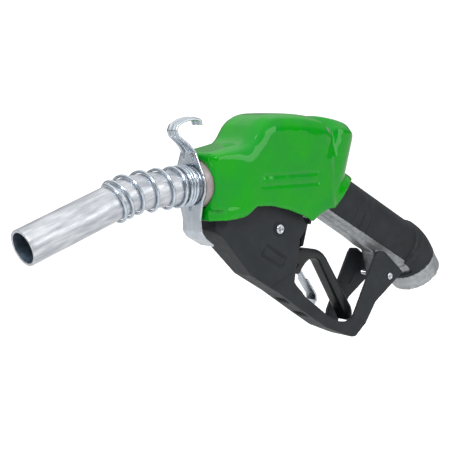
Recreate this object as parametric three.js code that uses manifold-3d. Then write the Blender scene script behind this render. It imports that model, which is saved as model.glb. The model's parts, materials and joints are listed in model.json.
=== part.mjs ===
// Automatic shut-off fuel nozzle with a one-inch inlet, in millimetres, +Z up.
// The pieces are laid out from the bend of the spout: x = 0, z = 0 is where the axes of its two
// straight legs meet, +X runs back along the body to the hose end, and y = 0 is the mid plane.
// The finished group is then moved so that its origin is the centre of the hose inlet's mouth.

import * as THREE from 'three';
import { mergeVertices } from 'three/addons/utils/BufferGeometryUtils.js';
import Module from 'manifold-3d';

const wasm = await Module();
wasm.setup();

// ---------------------------------------------------------------- driving dimensions

const CLEAR = 0.3; // gap left between neighbouring pieces
const FINE = 20; // sides of a large round piece
const COARSE = 12; // sides of a small round piece
const BEND_STEPS = 3; // flats along a bend of a tube
const THROUGH = 200; // length of a cutter that goes right through

const SPOUT = { outside: 30.2, wall: 2.4, tipLeg: 107, baseLeg: 96, droop: 15.9, bendRadius: 60 };
const SENSOR = { radius: 2, wall: 0.8, fromTip: 14, baseEnd: 70 };
const COIL = { wire: 2.6, stations: [-21, -15, -4, 11, 28, 44, 49.5, 52.5, 55.5, 58.5] };
const HOOK = { face: 62, sheet: 2, ringRadius: 21, tongueWidth: 26 };
const NOSE = { front: 73.3, radius: 19.5, ringRadius: 20.8, ringFront: 64.6 };
const SPOUT_SCREW = { x: 79, radius: 2.4 };
const O_RING = { middle: 90, groove: 2.8, section: 2.2, depth: 2.7 };

const COVER = { width: 59, wall: 2.6, round: 12, front: 70, rear: 222, ledge: -22 };
const COVER_CAP = { radius: 28.5, shoulder: 46, face: 21, top: 53.4, foot: -34 };
const COVER_COLLAR = { radius: 28.5, from: -8, to: 34 };
const GUARD = {
  front: 79,
  frontWidth: 23,
  chamfer: 8,
  width: 39,
  wall: 3.5,
  floor: 4,
  footWidth: 24,
  taperHeight: 25,
  top: -14.5,
};
const DRAIN = { places: [163, 187], length: 8, width: 14 };
const GUARD_FOOT = { x: 118.7, z: -87.5, slope: 35.5 };
const CASTING = { split: -13 };

const HANDLE = {
  start: { x: 226, z: -26.3 },
  slope: 31.2,
  straight: 130,
  bendRadius: 45,
  inletSlope: 56,
  inletLeg: 24.5,
  coreRadius: 22,
  bore: 12.7,
};
const INLET = { bossRadius: 27, neckRadius: 24.3, neckLength: 36, threadRadius: 16.7, socketDepth: 25 };
const GRIP = { wall: 3, from: -3, endGap: 18, openHalfWidth: 18 };
const RIB = { width: 18 };

const FRONT_PIN = { x: 148.3, z: -48.3, radius: 3, head: 4.6, headHeight: 1.6, boss: 8.5 };
const REAR_PIN = { x: 299.5, z: -117.7, radius: 2.4, head: 3.6, headHeight: 1.2 };

const VALVE = { x: 215.2, z: -8.2, tilt: 20, stemReach: 70, stem: 4, poppet: 17 };
const CHAMBER = { radius: 20.5, height: 40 };
const SEAT = { radius: 16, bore: 12.5, depth: 5 };
const GLAND = { bottom: -46, radius: 9, packing: 7 };
const VALVE_CAP = { radius: 23, height: 5, plug: 4 };

const LATCH = { x: 150, z: 34, tilt: 12, reach: 98, plunger: 6 };
const DIAPHRAGM = { radius: 17.5, rubber: 1.5, chamber: 15, depth: 12 };
const VACUUM_CAP = { radius: 18, height: 10.4, recess: 12 };
const LATCH_PIN = { radius: 2.5, length: 22 };
const PLUNGER_NUT = { radius: 9.2, top: -77, bottom: -83 };
const CAP_SCREW = { count: 4, radius: 1.2, head: 2.1, headFoot: 6.4, headTop: 8.4, foot: -7, inset: 2.7 };

const LEVER = { width: 16, round: 3.2, pivotBoss: 8.5, pin: 3, tongue: 7 };
const CLIP = { x: 180, z: -88, width: 8, leafWidth: 13, sheet: 1.8, eye: 4, pin: 2 };
const CHECK = { seat: 96.4, seatLength: 6, bore: 10.5, stem: 2, guide: 76, guideLength: 4 };
const STRAINER = { radius: 11.5, length: 14, wall: 1 };

// ---------------------------------------------------------------- small geometry tools

const radians = THREE.MathUtils.degToRad;

// The welded, closed solid of a geometry, without triangles that have lost their area.
function toSolid(geometry) {
  const bare = geometry.clone();
  bare.deleteAttribute('normal');
  bare.deleteAttribute('uv');
  const welded = mergeVertices(bare, 1e-4);
  const corners = welded.index.array;
  const kept = [];
  for (let i = 0; i < corners.length; i += 3) {
    const [a, b, c] = [corners[i], corners[i + 1], corners[i + 2]];
    if (a !== b && b !== c && c !== a) kept.push(a, b, c);
  }
  const vertProperties = new Float32Array(welded.attributes.position.array);
  const triVerts = new Uint32Array(kept);
  return new wasm.Manifold(new wasm.Mesh({ numProp: 3, vertProperties, triVerts }));
}

function toGeometry(solid) {
  const mesh = solid.getMesh();
  const geometry = new THREE.BufferGeometry();
  geometry.setAttribute('position', new THREE.BufferAttribute(new Float32Array(mesh.vertProperties), 3));
  geometry.setIndex(new THREE.BufferAttribute(new Uint32Array(mesh.triVerts), 1));
  return geometry;
}

function combine(operation, first, others) {
  let result = toSolid(first);
  for (const other of others) result = result[operation](toSolid(other));
  return toGeometry(result);
}

const join = (first, ...others) => combine('add', first, others);
const cut = (first, ...others) => combine('subtract', first, others);
const common = (first, ...others) => combine('intersect', first, others);

// A shape from corner points, each [x, z].
function polygon(points) {
  return new THREE.Shape(points.map(([x, z]) => new THREE.Vector2(x, z)));
}

function circle(x, z, radius) {
  const shape = new THREE.Shape();
  shape.absarc(x, z, radius, 0, 2 * Math.PI, false);
  return shape;
}

// The corners of a closed outline, moved inwards by a distance with mitred corners.
function insetPoints(points, distance) {
  const turn = THREE.ShapeUtils.isClockWise(points) ? -1 : 1;
  return points.map((point, i) => {
    const before = points[(i + points.length - 1) % points.length];
    const after = points[(i + 1) % points.length];
    const along = point.clone().sub(before).normalize();
    const onward = after.clone().sub(point).normalize();
    const first = new THREE.Vector2(-along.y, along.x).multiplyScalar(turn);
    const second = new THREE.Vector2(-onward.y, onward.x).multiplyScalar(turn);
    const mitre = first.clone().add(second).multiplyScalar(distance / (1 + first.dot(second)));
    return point.clone().add(mitre);
  });
}

// The outline of a strip of sheet metal of even thickness that follows a bent line.
function stripPoints(line, thickness) {
  const middle = line.map(([x, z]) => new THREE.Vector2(x, z));
  const sides = [[], []];
  middle.forEach((point, i) => {
    const before = middle[Math.max(i - 1, 0)];
    const after = middle[Math.min(i + 1, middle.length - 1)];
    const along = point.equals(before) ? after.clone().sub(point) : point.clone().sub(before);
    const onward = point.equals(after) ? along.clone() : after.clone().sub(point);
    const first = new THREE.Vector2(-along.y, along.x).normalize();
    const second = new THREE.Vector2(-onward.y, onward.x).normalize();
    const mitre = first.clone().add(second).multiplyScalar(thickness / 2 / (1 + first.dot(second)));
    sides[0].push(point.clone().add(mitre));
    sides[1].push(point.clone().sub(mitre));
  });
  return [...sides[0], ...sides[1].reverse()];
}

// An outline in the XZ plane given a width along Y, centred on the mid plane. Its rim may be
// rounded or chamfered: `across` is the bevel's size along Y and `inwards` its size in the outline.
function slab(shape, width, { across = 0, inwards = across, segments = 3, curve = 5 } = {}) {
  const depth = width - 2 * across;
  const geometry = new THREE.ExtrudeGeometry(shape, {
    depth,
    curveSegments: curve,
    bevelEnabled: across > 0,
    bevelThickness: across,
    bevelSize: inwards,
    bevelOffset: -inwards,
    bevelSegments: segments,
  });
  geometry.rotateX(Math.PI / 2);
  geometry.translate(0, depth / 2, 0);
  return geometry;
}

// An outline in the YZ plane given a thickness along X, from x = from to x = to.
function slice(shape, from, to) {
  const geometry = new THREE.ExtrudeGeometry(shape, { depth: to - from, bevelEnabled: false, curveSegments: 8 });
  const basis = new THREE.Matrix4().makeBasis(
    new THREE.Vector3(0, 1, 0),
    new THREE.Vector3(0, 0, 1),
    new THREE.Vector3(1, 0, 0),
  );
  geometry.applyMatrix4(basis);
  geometry.translate(from, 0, 0);
  return geometry;
}

// A plan outline in the XY plane given a height along Z.
function tower(shape, bottom, top) {
  const geometry = new THREE.ExtrudeGeometry(shape, { depth: top - bottom, bevelEnabled: false });
  geometry.translate(0, 0, bottom);
  return geometry;
}

// A round bar of one radius between two points.
function bar(from, to, radius, sides = COARSE) {
  const start = new THREE.Vector3(...from);
  const line = new THREE.Vector3(...to).sub(start);
  const geometry = new THREE.CylinderGeometry(radius, radius, line.length(), sides);
  geometry.translate(0, line.length() / 2, 0);
  const up = new THREE.Vector3(0, 1, 0);
  geometry.applyQuaternion(new THREE.Quaternion().setFromUnitVectors(up, line.clone().normalize()));
  geometry.translate(start.x, start.y, start.z);
  return geometry;
}

// A piece turned about the Z axis. The profile's points are [radius, z].
function turned(profile, sides = FINE) {
  const points = profile.map(([radius, z]) => new THREE.Vector2(radius, z));
  const geometry = new THREE.LatheGeometry(points, sides);
  geometry.rotateX(Math.PI / 2);
  return geometry;
}

function ring(inner, outer, bottom, top, sides = FINE) {
  return turned([[inner, bottom], [outer, bottom], [outer, top], [inner, top], [inner, bottom]], sides);
}

function disc(radius, bottom, top, sides = FINE) {
  return turned([[0, bottom], [radius, bottom], [radius, top], [0, top]], sides);
}

// A straight line, an arc and a straight line in the XZ plane, measured by length. The heading is
// the angle from +X towards +Z.
class BentLine {
  constructor({ start, heading, first, radius, turn, last }) {
    Object.assign(this, { start, heading, first, radius, turn, last });
    this.arc = radius * Math.abs(turn);
    this.total = first + this.arc + last;
  }

  // The point at a distance along the line, and the heading there.
  at(distance) {
    const side = Math.sign(this.turn) || 1;
    const bent = THREE.MathUtils.clamp(distance - this.first, 0, this.arc);
    const heading = this.heading + (side * bent) / this.radius;
    const straight = Math.min(distance, this.first);
    const after = Math.max(distance - this.first - this.arc, 0);
    const swing = side * this.radius;
    const x =
      this.start.x +
      Math.cos(this.heading) * straight +
      swing * (Math.sin(heading) - Math.sin(this.heading)) +
      Math.cos(heading) * after;
    const z =
      this.start.z +
      Math.sin(this.heading) * straight -
      swing * (Math.cos(heading) - Math.cos(this.heading)) +
      Math.sin(heading) * after;
    return { x, z, heading };
  }

}

// The part of a bent line between two distances, with one step along each straight and several
// round the bend.
class Stretch extends THREE.Curve {
  constructor(line, from = 0, to = line.total) {
    super();
    const bend = Array.from({ length: BEND_STEPS + 1 }, (_, i) => line.first + (line.arc * i) / BEND_STEPS);
    this.line = line;
    this.stations = [from, ...bend.filter((station) => station > from && station < to), to];
    this.steps = this.stations.length - 1;
  }

  getPoint(t, target = new THREE.Vector3()) {
    const place = THREE.MathUtils.clamp(t, 0, 1) * this.steps;
    const before = Math.min(Math.floor(place), this.steps - 1);
    const distance = THREE.MathUtils.lerp(this.stations[before], this.stations[before + 1], place - before);
    const { x, z } = this.line.at(distance);
    return target.set(x, 0, z);
  }

  getUtoTmapping(u) {
    return u;
  }
}

// A helix about the Z axis.
class Helix extends THREE.Curve {
  constructor(radius, bottom, top, turns) {
    super();
    Object.assign(this, { radius, bottom, top, turns });
  }

  getPoint(t, target = new THREE.Vector3()) {
    const angle = 2 * Math.PI * this.turns * t;
    const z = THREE.MathUtils.lerp(this.bottom, this.top, t);
    return target.set(this.radius * Math.cos(angle), this.radius * Math.sin(angle), z);
  }
}

// A coil wound round a bent line, whose successive turns pass over its top at the given stations.
class WoundCoil extends THREE.Curve {
  constructor(line, origin, radius, stations) {
    super();
    Object.assign(this, { line, origin, radius, stations });
  }

  getPoint(t, target = new THREE.Vector3()) {
    const turns = t * (this.stations.length - 1);
    const before = Math.min(Math.floor(turns), this.stations.length - 2);
    const station = THREE.MathUtils.lerp(this.stations[before], this.stations[before + 1], turns - before);
    const { x, z, heading } = this.line.at(this.origin - station);
    const angle = 2 * Math.PI * turns;
    const out = this.radius * Math.cos(angle);
    const across = -this.radius * Math.sin(angle);
    return target.set(x + out * Math.sin(heading), across, z - out * Math.cos(heading));
  }
}

function roundSection(radius, sides) {
  const corners = Array.from({ length: sides }, (_, i) => {
    const angle = (2 * Math.PI * i) / sides;
    return new THREE.Vector2(radius * Math.cos(angle), radius * Math.sin(angle));
  });
  return new THREE.Shape(corners);
}

function swept(section, path, steps = path.steps) {
  return new THREE.ExtrudeGeometry(section, { extrudePath: path, steps });
}

// A round bar that follows part of a bent line.
function bentBar(radius, sides, line, from, to) {
  return swept(roundSection(radius, sides), new Stretch(line, from, to));
}

// A compression spring about the Z axis that just fits between two levels.
function spring(meanRadius, wire, bottom, top, turns) {
  const path = new Helix(meanRadius, bottom + wire / 2 + CLEAR, top - wire / 2 - CLEAR, turns);
  return swept(roundSection(wire / 2, 4), path, Math.round(turns * 8));
}

function finish(color, roughness, metalness) {
  return new THREE.MeshStandardMaterial({ color, roughness, metalness });
}

const FINISHES = {
  castAluminium: () => finish(0xa9abac, 0.5, 1),
  drawnAluminium: () => finish(0xc3c6c9, 0.35, 1),
  zincPlate: () => finish(0xc9d1d6, 0.25, 1),
  springSteel: () => finish(0xbfc6cb, 0.3, 1),
  greenVinyl: () => finish(0x0aa51e, 0.25, 0),
  blackMoulding: () => finish(0x2a2d31, 0.6, 0),
  brass: () => finish(0xb08d4a, 0.35, 1),
  rubber: () => finish(0x1b1b1b, 0.8, 0),
  greyNylon: () => finish(0x9a9696, 0.6, 0),
};

function piece(name, geometry, material) {
  const mesh = new THREE.Mesh(toGeometry(toSolid(geometry)), FINISHES[material]());
  mesh.name = name;
  return mesh;
}

// ---------------------------------------------------------------- shared layout

const droop = radians(SPOUT.droop);
const spoutTangent = SPOUT.bendRadius * Math.tan(droop / 2);
const spoutRadius = SPOUT.outside / 2;
const spoutBore = spoutRadius - SPOUT.wall;
const seatRadius = spoutRadius + CLEAR; // bore that takes the spout

// The spout's axis from its end inside the body to its tip, shifted down by an offset.
function spoutLine(baseEnd, tipInset, offset = 0) {
  return new BentLine({
    start: { x: baseEnd, z: -offset },
    heading: Math.PI,
    first: baseEnd - spoutTangent,
    radius: SPOUT.bendRadius - offset,
    turn: droop,
    last: SPOUT.tipLeg - spoutTangent - tipInset,
  });
}

const handleLine = new BentLine({
  start: HANDLE.start,
  heading: -radians(HANDLE.slope),
  first: HANDLE.straight,
  radius: HANDLE.bendRadius,
  turn: -radians(HANDLE.inletSlope - HANDLE.slope),
  last: HANDLE.inletLeg,
});
const mouth = handleLine.at(handleLine.total);

const guardInner = GUARD.width - 2 * GUARD.wall;
const lowerWidth = guardInner - 2 * CLEAR; // casting between the guard's side plates
const gripInner = HANDLE.coreRadius + CLEAR;
const gripOuter = gripInner + GRIP.wall;
const gripEndInner = INLET.neckRadius + CLEAR;
const gripEndOuter = gripEndInner + GRIP.wall;

// A point at a distance along an axis that leans back from vertical by its tilt.
function onAxis(axis, distance) {
  const lean = radians(axis.tilt);
  return { x: axis.x + Math.sin(lean) * distance, z: axis.z + Math.cos(lean) * distance };
}

const contact = onAxis(VALVE, -VALVE.stemReach - CLEAR);
const pivot = onAxis(LATCH, -LATCH.reach);

// A bar on a leaning axis between two distances along it.
function axisBar(axis, from, to, radius, sides = FINE) {
  const start = onAxis(axis, from);
  const end = onAxis(axis, to);
  return bar([start.x, 0, start.z], [end.x, 0, end.z], radius, sides);
}

function crossBar(point, radius, length, sides = COARSE) {
  return bar([point.x, -length / 2, point.z], [point.x, length / 2, point.z], radius, sides);
}

// A straight bar that follows the handle's straight leg.
function handleBar(from, to, radius, sides = FINE) {
  const start = handleLine.at(from);
  const end = handleLine.at(to);
  return bar([start.x, 0, start.z], [end.x, 0, end.z], radius, sides);
}

// ---------------------------------------------------------------- body cover and casting

// A plan outline that is narrow at the nose and widens to the full width of the body.
function bodyPlan(frontHalfWidth, shoulder, inset) {
  const half = COVER.width / 2 - inset;
  const rear = COVER.rear + COVER_CAP.radius;
  return polygon([
    [COVER.front + inset, inset - frontHalfWidth],
    [shoulder, 4 - half],
    [COVER.front + 34, -half],
    [rear, -half],
    [rear, half],
    [COVER.front + 34, half],
    [shoulder, half - 4],
    [COVER.front + inset, frontHalfWidth - inset],
  ]);
}

// The rounded outer form of the body, moved inwards by an inset. It runs on below the body.
function bodyForm(inset) {
  const side = new THREE.Shape();
  side.moveTo(COVER.front, -64);
  side.lineTo(COVER.front, 27);
  side.lineTo(103, 31.5);
  side.quadraticCurveTo(111, 32.5, 116, 40);
  side.quadraticCurveTo(125, 55.5, 143, 55.5);
  side.quadraticCurveTo(175, 55, 205, 47);
  side.lineTo(COVER.rear, 40);
  side.lineTo(COVER.rear, -64);
  const corners = insetPoints(side.getPoints(4), inset);
  const block = slab(new THREE.Shape(corners), COVER.width - 2 * inset, {
    across: COVER.round - inset / 2,
    segments: 2,
  });
  const ledge = COVER.ledge + inset;
  const upper = tower(bodyPlan(25, 84, inset), ledge, THROUGH);
  const lower = tower(bodyPlan(13, 80, inset), -THROUGH, ledge);
  const cap = turned([
    [0, COVER_CAP.foot],
    [COVER_CAP.radius - inset, COVER_CAP.foot],
    [COVER_CAP.radius - inset, COVER_CAP.shoulder - inset],
    [COVER_CAP.face - inset / 2, COVER_CAP.top - inset],
    [0, COVER_CAP.top - inset],
  ]);
  cap.rotateY(radians(VALVE.tilt));
  cap.translate(VALVE.x, 0, VALVE.z);
  return join(common(block, join(upper, lower)), cap);
}

// The body's form with the collar that the cover carries round the front of the handle.
function coverForm(inset) {
  const collar = handleBar(COVER_COLLAR.from, COVER_COLLAR.to, COVER_COLLAR.radius - inset);
  return join(bodyForm(inset), collar);
}

// What lies below the cover's lower edge and behind its rear lip.
function underCover() {
  return slab(polygon([
    [60, -32], [84, -31.6], [99, -31], [106, -27.5], [113.8, -23], [131.8, -25], [152, -31],
    [169.6, -38.3], [182.8, -45.5], [192.5, -40.3], [206, -36.5], [215.3, -37.7], [218.5, -36],
    [224.4, -29], [229, -24.7], [239.5, -17.6], [255, -13.5], [300, -13.5], [300, -90], [60, -90],
  ]), THROUGH);
}

// The space that the grip fills where it runs up inside the cover.
function gripSpace() {
  return bentBar(gripOuter + CLEAR, FINE, handleLine, GRIP.from - CLEAR, HANDLE.straight);
}

function bodyCover() {
  const noseHole = bar([0, 0, 0], [COVER.front + 8, 0, 0], NOSE.ringRadius + CLEAR, FINE);
  return cut(coverForm(0), coverForm(COVER.wall), underCover(), noseHole, gripSpace());
}

function castingBlocks() {
  const above = tower(polygon([[0, -99], [299, -99], [299, 99], [0, 99]]), CASTING.split, 99);
  const upper = cut(
    common(bodyForm(COVER.wall + CLEAR), above),
    slab(polygon([[0, -60], [NOSE.front + 6, -60], [NOSE.front + 6, 60], [0, 60]]), THROUGH),
    axisBar(VALVE, CHAMBER.height, THROUGH, COVER_CAP.radius),
  );
  const lower = slab(polygon([
    [93, -8], [93, -18], [104, -24], [118, -37], [140, -43], [178, -41], [192, -45], [206, -41],
    [222, -44], [235, -30], [235, -8],
  ]), lowerWidth);
  const nose = bar([NOSE.front, 0, 0], [104, 0, 0], NOSE.radius, FINE);
  const pinBoss = slab(circle(FRONT_PIN.x, FRONT_PIN.z, FRONT_PIN.boss), lowerWidth);
  const glandBoss = axisBar(VALVE, GLAND.bottom + 4, -20, GLAND.radius);
  const plungerBoss = axisBar(LATCH, PLUNGER_NUT.bottom, -50, PLUNGER_NUT.radius + 3);
  return join(cut(join(upper, lower), gripSpace()), nose, pinBoss, glandBoss, plungerBoss);
}

function handleCore() {
  const core = bentBar(HANDLE.coreRadius, FINE, handleLine, -10, handleLine.total - 4);
  const end = handleLine.total;
  const neck = bentBar(INLET.neckRadius, FINE, handleLine, end - INLET.neckLength, end - 4);
  const boss = bentBar(INLET.bossRadius, FINE, handleLine, end - GRIP.endGap + CLEAR, end);
  const rib = slab(polygon([
    [205, -40], [219, -47.5], [262, -75], [276, -85], [288, -92], [292, -106], [294, -121],
    [299, -125], [306, -122], [314, -112], [324, -100], [300, -70], [240, -36], [222, -28],
  ]), RIB.width, { across: 2, segments: 1 });
  return join(core, neck, boss, rib);
}

// The bores, chambers and seats inside the casting.
function passages() {
  const valveChamber = axisBar(VALVE, 0, 90, CHAMBER.radius + CLEAR);
  const seatPocket = axisBar(VALVE, -SEAT.depth - CLEAR, 1, SEAT.radius + CLEAR);
  const valveThroat = axisBar(VALVE, -32, 0, SEAT.bore);
  const glandPocket = axisBar(VALVE, GLAND.bottom - 6, -35, GLAND.packing + CLEAR, COARSE);
  const stemHole = axisBar(VALVE, -60, 0, VALVE.stem + CLEAR, COARSE);
  const throatEnd = onAxis(VALVE, -20);
  const frontPassage = bar([throatEnd.x, 0, throatEnd.z], [100, 0, 0], SEAT.bore, FINE);
  const checkEnd = CHECK.seat + CHECK.seatLength + CLEAR;
  const spoutSocket = bar([0, 0, 0], [checkEnd, 0, 0], seatRadius, FINE);
  const checkThroat = bar([90, 0, 0], [checkEnd + 8, 0, 0], CHECK.bore, FINE);
  const ductFoot = handleLine.at(14);
  const ductTop = onAxis(VALVE, 18);
  const inletDuct = bar([ductFoot.x, 0, ductFoot.z], [ductTop.x + 17, 0, ductTop.z - 6], 6.5, COARSE);
  const diaphragmChamber = axisBar(LATCH, -DIAPHRAGM.depth, 50, DIAPHRAGM.chamber);
  const capSeat = axisBar(LATCH, 0, 50, VACUUM_CAP.radius + 1);
  const end = handleLine.total;
  const handleBore = bentBar(HANDLE.bore, COARSE, handleLine, 9, end - 2);
  const socket = bentBar(INLET.threadRadius, FINE, handleLine, end - INLET.socketDepth, end + 3);
  return [
    valveChamber, seatPocket, valveThroat, glandPocket, stemHole, frontPassage, spoutSocket,
    checkThroat, inletDuct, diaphragmChamber, capSeat, handleBore, socket,
  ];
}

function bodyCasting() {
  const hollowed = cut(join(castingBlocks(), handleCore()), ...passages());
  const plungerTube = axisBar(LATCH, PLUNGER_NUT.bottom, -DIAPHRAGM.depth - 1, LATCH.plunger + 3.2);
  const plungerBore = axisBar(LATCH, -90, 0, LATCH.plunger + CLEAR);
  const springBore = axisBar(LATCH, -95, -52, PLUNGER_NUT.radius + CLEAR);
  const vacuumDuct = bar([97, 0, 13], [137, 0, 28], 1.6, 10);
  const grooveFront = O_RING.middle - O_RING.groove / 2;
  const grooveBack = O_RING.middle + O_RING.groove / 2;
  const ringGroove = bar([grooveFront, 0, 0], [grooveBack, 0, 0], spoutRadius + O_RING.depth + CLEAR, FINE);
  const screwHole = bar([SPOUT_SCREW.x, 0, -30], [SPOUT_SCREW.x, 0, -12], SPOUT_SCREW.radius + CLEAR, COARSE);
  return cut(
    join(hollowed, plungerTube),
    plungerBore,
    springBore,
    vacuumDuct,
    ringGroove,
    screwHole,
    crossBar(FRONT_PIN, FRONT_PIN.radius + CLEAR, THROUGH),
    crossBar(REAR_PIN, REAR_PIN.radius + CLEAR, THROUGH),
  );
}

// ---------------------------------------------------------------- grip and inlet

// A point below the handle's axis, at a distance along it and a depth under it.
function underHandle(distance, depth) {
  const { x, z, heading } = handleLine.at(distance);
  return [x + depth * Math.sin(heading), z - depth * Math.cos(heading)];
}

// A sleeve round the handle, open along its underside, with a wider end round the inlet boss.
function gripCover() {
  const endFrom = HANDLE.straight - 4;
  const endTo = handleLine.total - GRIP.endGap;
  const neckFrom = handleLine.total - INLET.neckLength - CLEAR;
  const openingEnd = endTo - 4;
  const opening = slab(polygon([
    underHandle(-5, 12), underHandle(HANDLE.straight + 5, 12), underHandle(openingEnd, 12),
    underHandle(openingEnd, 60), underHandle(-5, 60),
  ]), 2 * GRIP.openHalfWidth);
  const outside = join(
    bentBar(gripOuter, FINE, handleLine, GRIP.from, endFrom + 4),
    bentBar(gripEndOuter, FINE, handleLine, endFrom, endTo),
  );
  return cut(
    outside,
    bentBar(gripInner, FINE, handleLine, GRIP.from - 2, neckFrom + 2),
    bentBar(gripEndInner, FINE, handleLine, neckFrom, endTo + 2),
    opening,
  );
}

function inletStrainer() {
  const shell = turned([
    [STRAINER.radius - STRAINER.wall, 0],
    [STRAINER.radius + 0.8, 0],
    [STRAINER.radius + 0.8, 1.5],
    [STRAINER.radius, 1.5],
    [STRAINER.radius - 4, STRAINER.length],
    [0, STRAINER.length],
    [0, STRAINER.length - STRAINER.wall],
    [STRAINER.radius - 4 - STRAINER.wall, STRAINER.length - STRAINER.wall],
    [STRAINER.radius - STRAINER.wall, 0],
  ], COARSE);
  return shell;
}

// ---------------------------------------------------------------- spout

function spoutTube() {
  const line = spoutLine(SPOUT.baseLeg, 0);
  const tube = cut(
    bentBar(spoutRadius, FINE, line, 0, line.total),
    bentBar(spoutBore, FINE, line, -2, line.total + 2),
  );
  const port = line.at(line.total - SENSOR.fromTip);
  const down = [port.x - 20 * Math.sin(droop), 0, port.z - 20 * Math.cos(droop)];
  return cut(tube, bar([port.x, 0, port.z], down, SENSOR.radius, 12));
}

function sensingTube() {
  const offset = spoutBore - SENSOR.radius - CLEAR - 0.4;
  const line = spoutLine(SENSOR.baseEnd, SENSOR.fromTip + 5, offset);
  return cut(
    bentBar(SENSOR.radius, 8, line, 0, line.total),
    bentBar(SENSOR.radius - SENSOR.wall, 8, line, -1, line.total + 1),
  );
}

function anchorSpring() {
  const line = spoutLine(SPOUT.baseLeg, 0);
  const radius = spoutRadius + COIL.wire / 2 + 2 * CLEAR;
  const path = new WoundCoil(line, SPOUT.baseLeg, radius, COIL.stations);
  return swept(roundSection(COIL.wire / 2, 5), path, (COIL.stations.length - 1) * 16);
}

// A stamped plate: a ring on the spout, an arm that curls back above and a tongue below.
function hookPlate() {
  const back = HOOK.face + HOOK.sheet / 2;
  const arm = stripPoints([
    [back, 10], [back, 29], [58, 35], [48.5, 43], [46.5, 47.5], [49, 52], [56, 55], [66, 56], [73.5, 54.5],
    [74.5, 50],
  ], HOOK.sheet);
  const tongue = stripPoints([[back, -10], [back, -40], [67, -46], [79, -54.5]], HOOK.sheet);
  const armFront = slice(polygon([
    [-19, 10], [19, 10], [13, 22], [8.5, 32], [6.5, 46], [6.5, 60],
    [-6.5, 60], [-6.5, 46], [-8.5, 32], [-13, 22],
  ]), 40, 80);
  const half = HOOK.tongueWidth / 2;
  const tongueFront = slice(polygon([
    [-half, -44], [-7, -60], [7, -60], [half, -44], [half - 1, -30], [half + 3, -14], [half, -8], [-half, -8],
    [-half - 3, -14], [1 - half, -30],
  ]), 50, 90);
  const sheetRing = bar([HOOK.face, 0, 0], [HOOK.face + HOOK.sheet, 0, 0], HOOK.ringRadius, FINE);
  const whole = join(
    sheetRing,
    common(slab(new THREE.Shape(arm), 60), armFront),
    common(slab(new THREE.Shape(tongue), 60), tongueFront),
  );
  return cut(whole, bar([40, 0, 0], [90, 0, 0], seatRadius, FINE));
}

function checkGuide() {
  const plate = ring(CHECK.stem + CLEAR, spoutBore - CLEAR, CHECK.guide, CHECK.guide + CHECK.guideLength);
  const ports = [];
  for (let i = 0; i < 4; i += 1) {
    const angle = (Math.PI / 2) * i + Math.PI / 4;
    const [x, y] = [7.4 * Math.cos(angle), 7.4 * Math.sin(angle)];
    ports.push(bar([x, y, CHECK.guide - 1], [x, y, CHECK.guide + CHECK.guideLength + 1], 3.1, 12));
  }
  return cut(plate, ...ports);
}

function checkPoppet() {
  const face = CHECK.seat - CLEAR;
  const radius = spoutBore - 1;
  return turned([
    [0, CHECK.guide - 4],
    [CHECK.stem, CHECK.guide - 4],
    [CHECK.stem, face - 4],
    [radius - 2, face - 4],
    [radius, face - 2],
    [radius, face],
    [0, face],
  ], COARSE);
}

function checkSpring() {
  return spring(5, 1, CHECK.guide + CHECK.guideLength, CHECK.seat - CLEAR - 4, 4);
}

function spoutScrew() {
  const { x, radius } = SPOUT_SCREW;
  return bar([x, 0, -NOSE.radius], [x, 0, -spoutRadius - CLEAR], radius);
}

function spoutPieces() {
  const axis = new THREE.Group();
  axis.rotation.y = Math.PI / 2;
  const seat = ring(CHECK.bore, seatRadius - CLEAR, CHECK.seat, CHECK.seat + CHECK.seatLength);
  const nut = ring(seatRadius, NOSE.ringRadius, NOSE.ringFront, NOSE.front - CLEAR);
  const sealHalf = O_RING.section / 2;
  const seal = ring(
    spoutRadius + CLEAR / 2,
    spoutRadius + O_RING.depth,
    O_RING.middle - sealHalf,
    O_RING.middle + sealHalf,
  );
  axis.add(
    piece('spout_bushing', nut, 'greyNylon'),
    piece('spout_o_ring', seal, 'rubber'),
    piece('check_seat', seat, 'brass'),
    piece('check_poppet', checkPoppet(), 'brass'),
    piece('check_guide', checkGuide(), 'greyNylon'),
    piece('check_spring', checkSpring(), 'springSteel'),
  );
  const group = new THREE.Group();
  group.add(
    axis,
    piece('spout_tube', spoutTube(), 'drawnAluminium'),
    piece('sensing_tube', sensingTube(), 'brass'),
    piece('anchor_spring', anchorSpring(), 'springSteel'),
    piece('hook_plate', hookPlate(), 'zincPlate'),
    piece('spout_screw', spoutScrew(), 'zincPlate'),
  );
  return group;
}

// ---------------------------------------------------------------- main valve

function packingNut() {
  const body = disc(GLAND.packing, GLAND.bottom, GLAND.bottom + 6, 6);
  return cut(body, disc(VALVE.stem + CLEAR, GLAND.bottom - 2, GLAND.bottom + 8, COARSE));
}

function valveCap() {
  const foot = CHAMBER.height;
  const body = turned([
    [0, foot - VALVE_CAP.plug],
    [CHAMBER.radius - CLEAR, foot - VALVE_CAP.plug],
    [CHAMBER.radius - CLEAR, foot + CLEAR],
    [VALVE_CAP.radius, foot + CLEAR],
    [VALVE_CAP.radius, foot + VALVE_CAP.height],
    [0, foot + VALVE_CAP.height],
  ]);
  return body;
}

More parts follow.
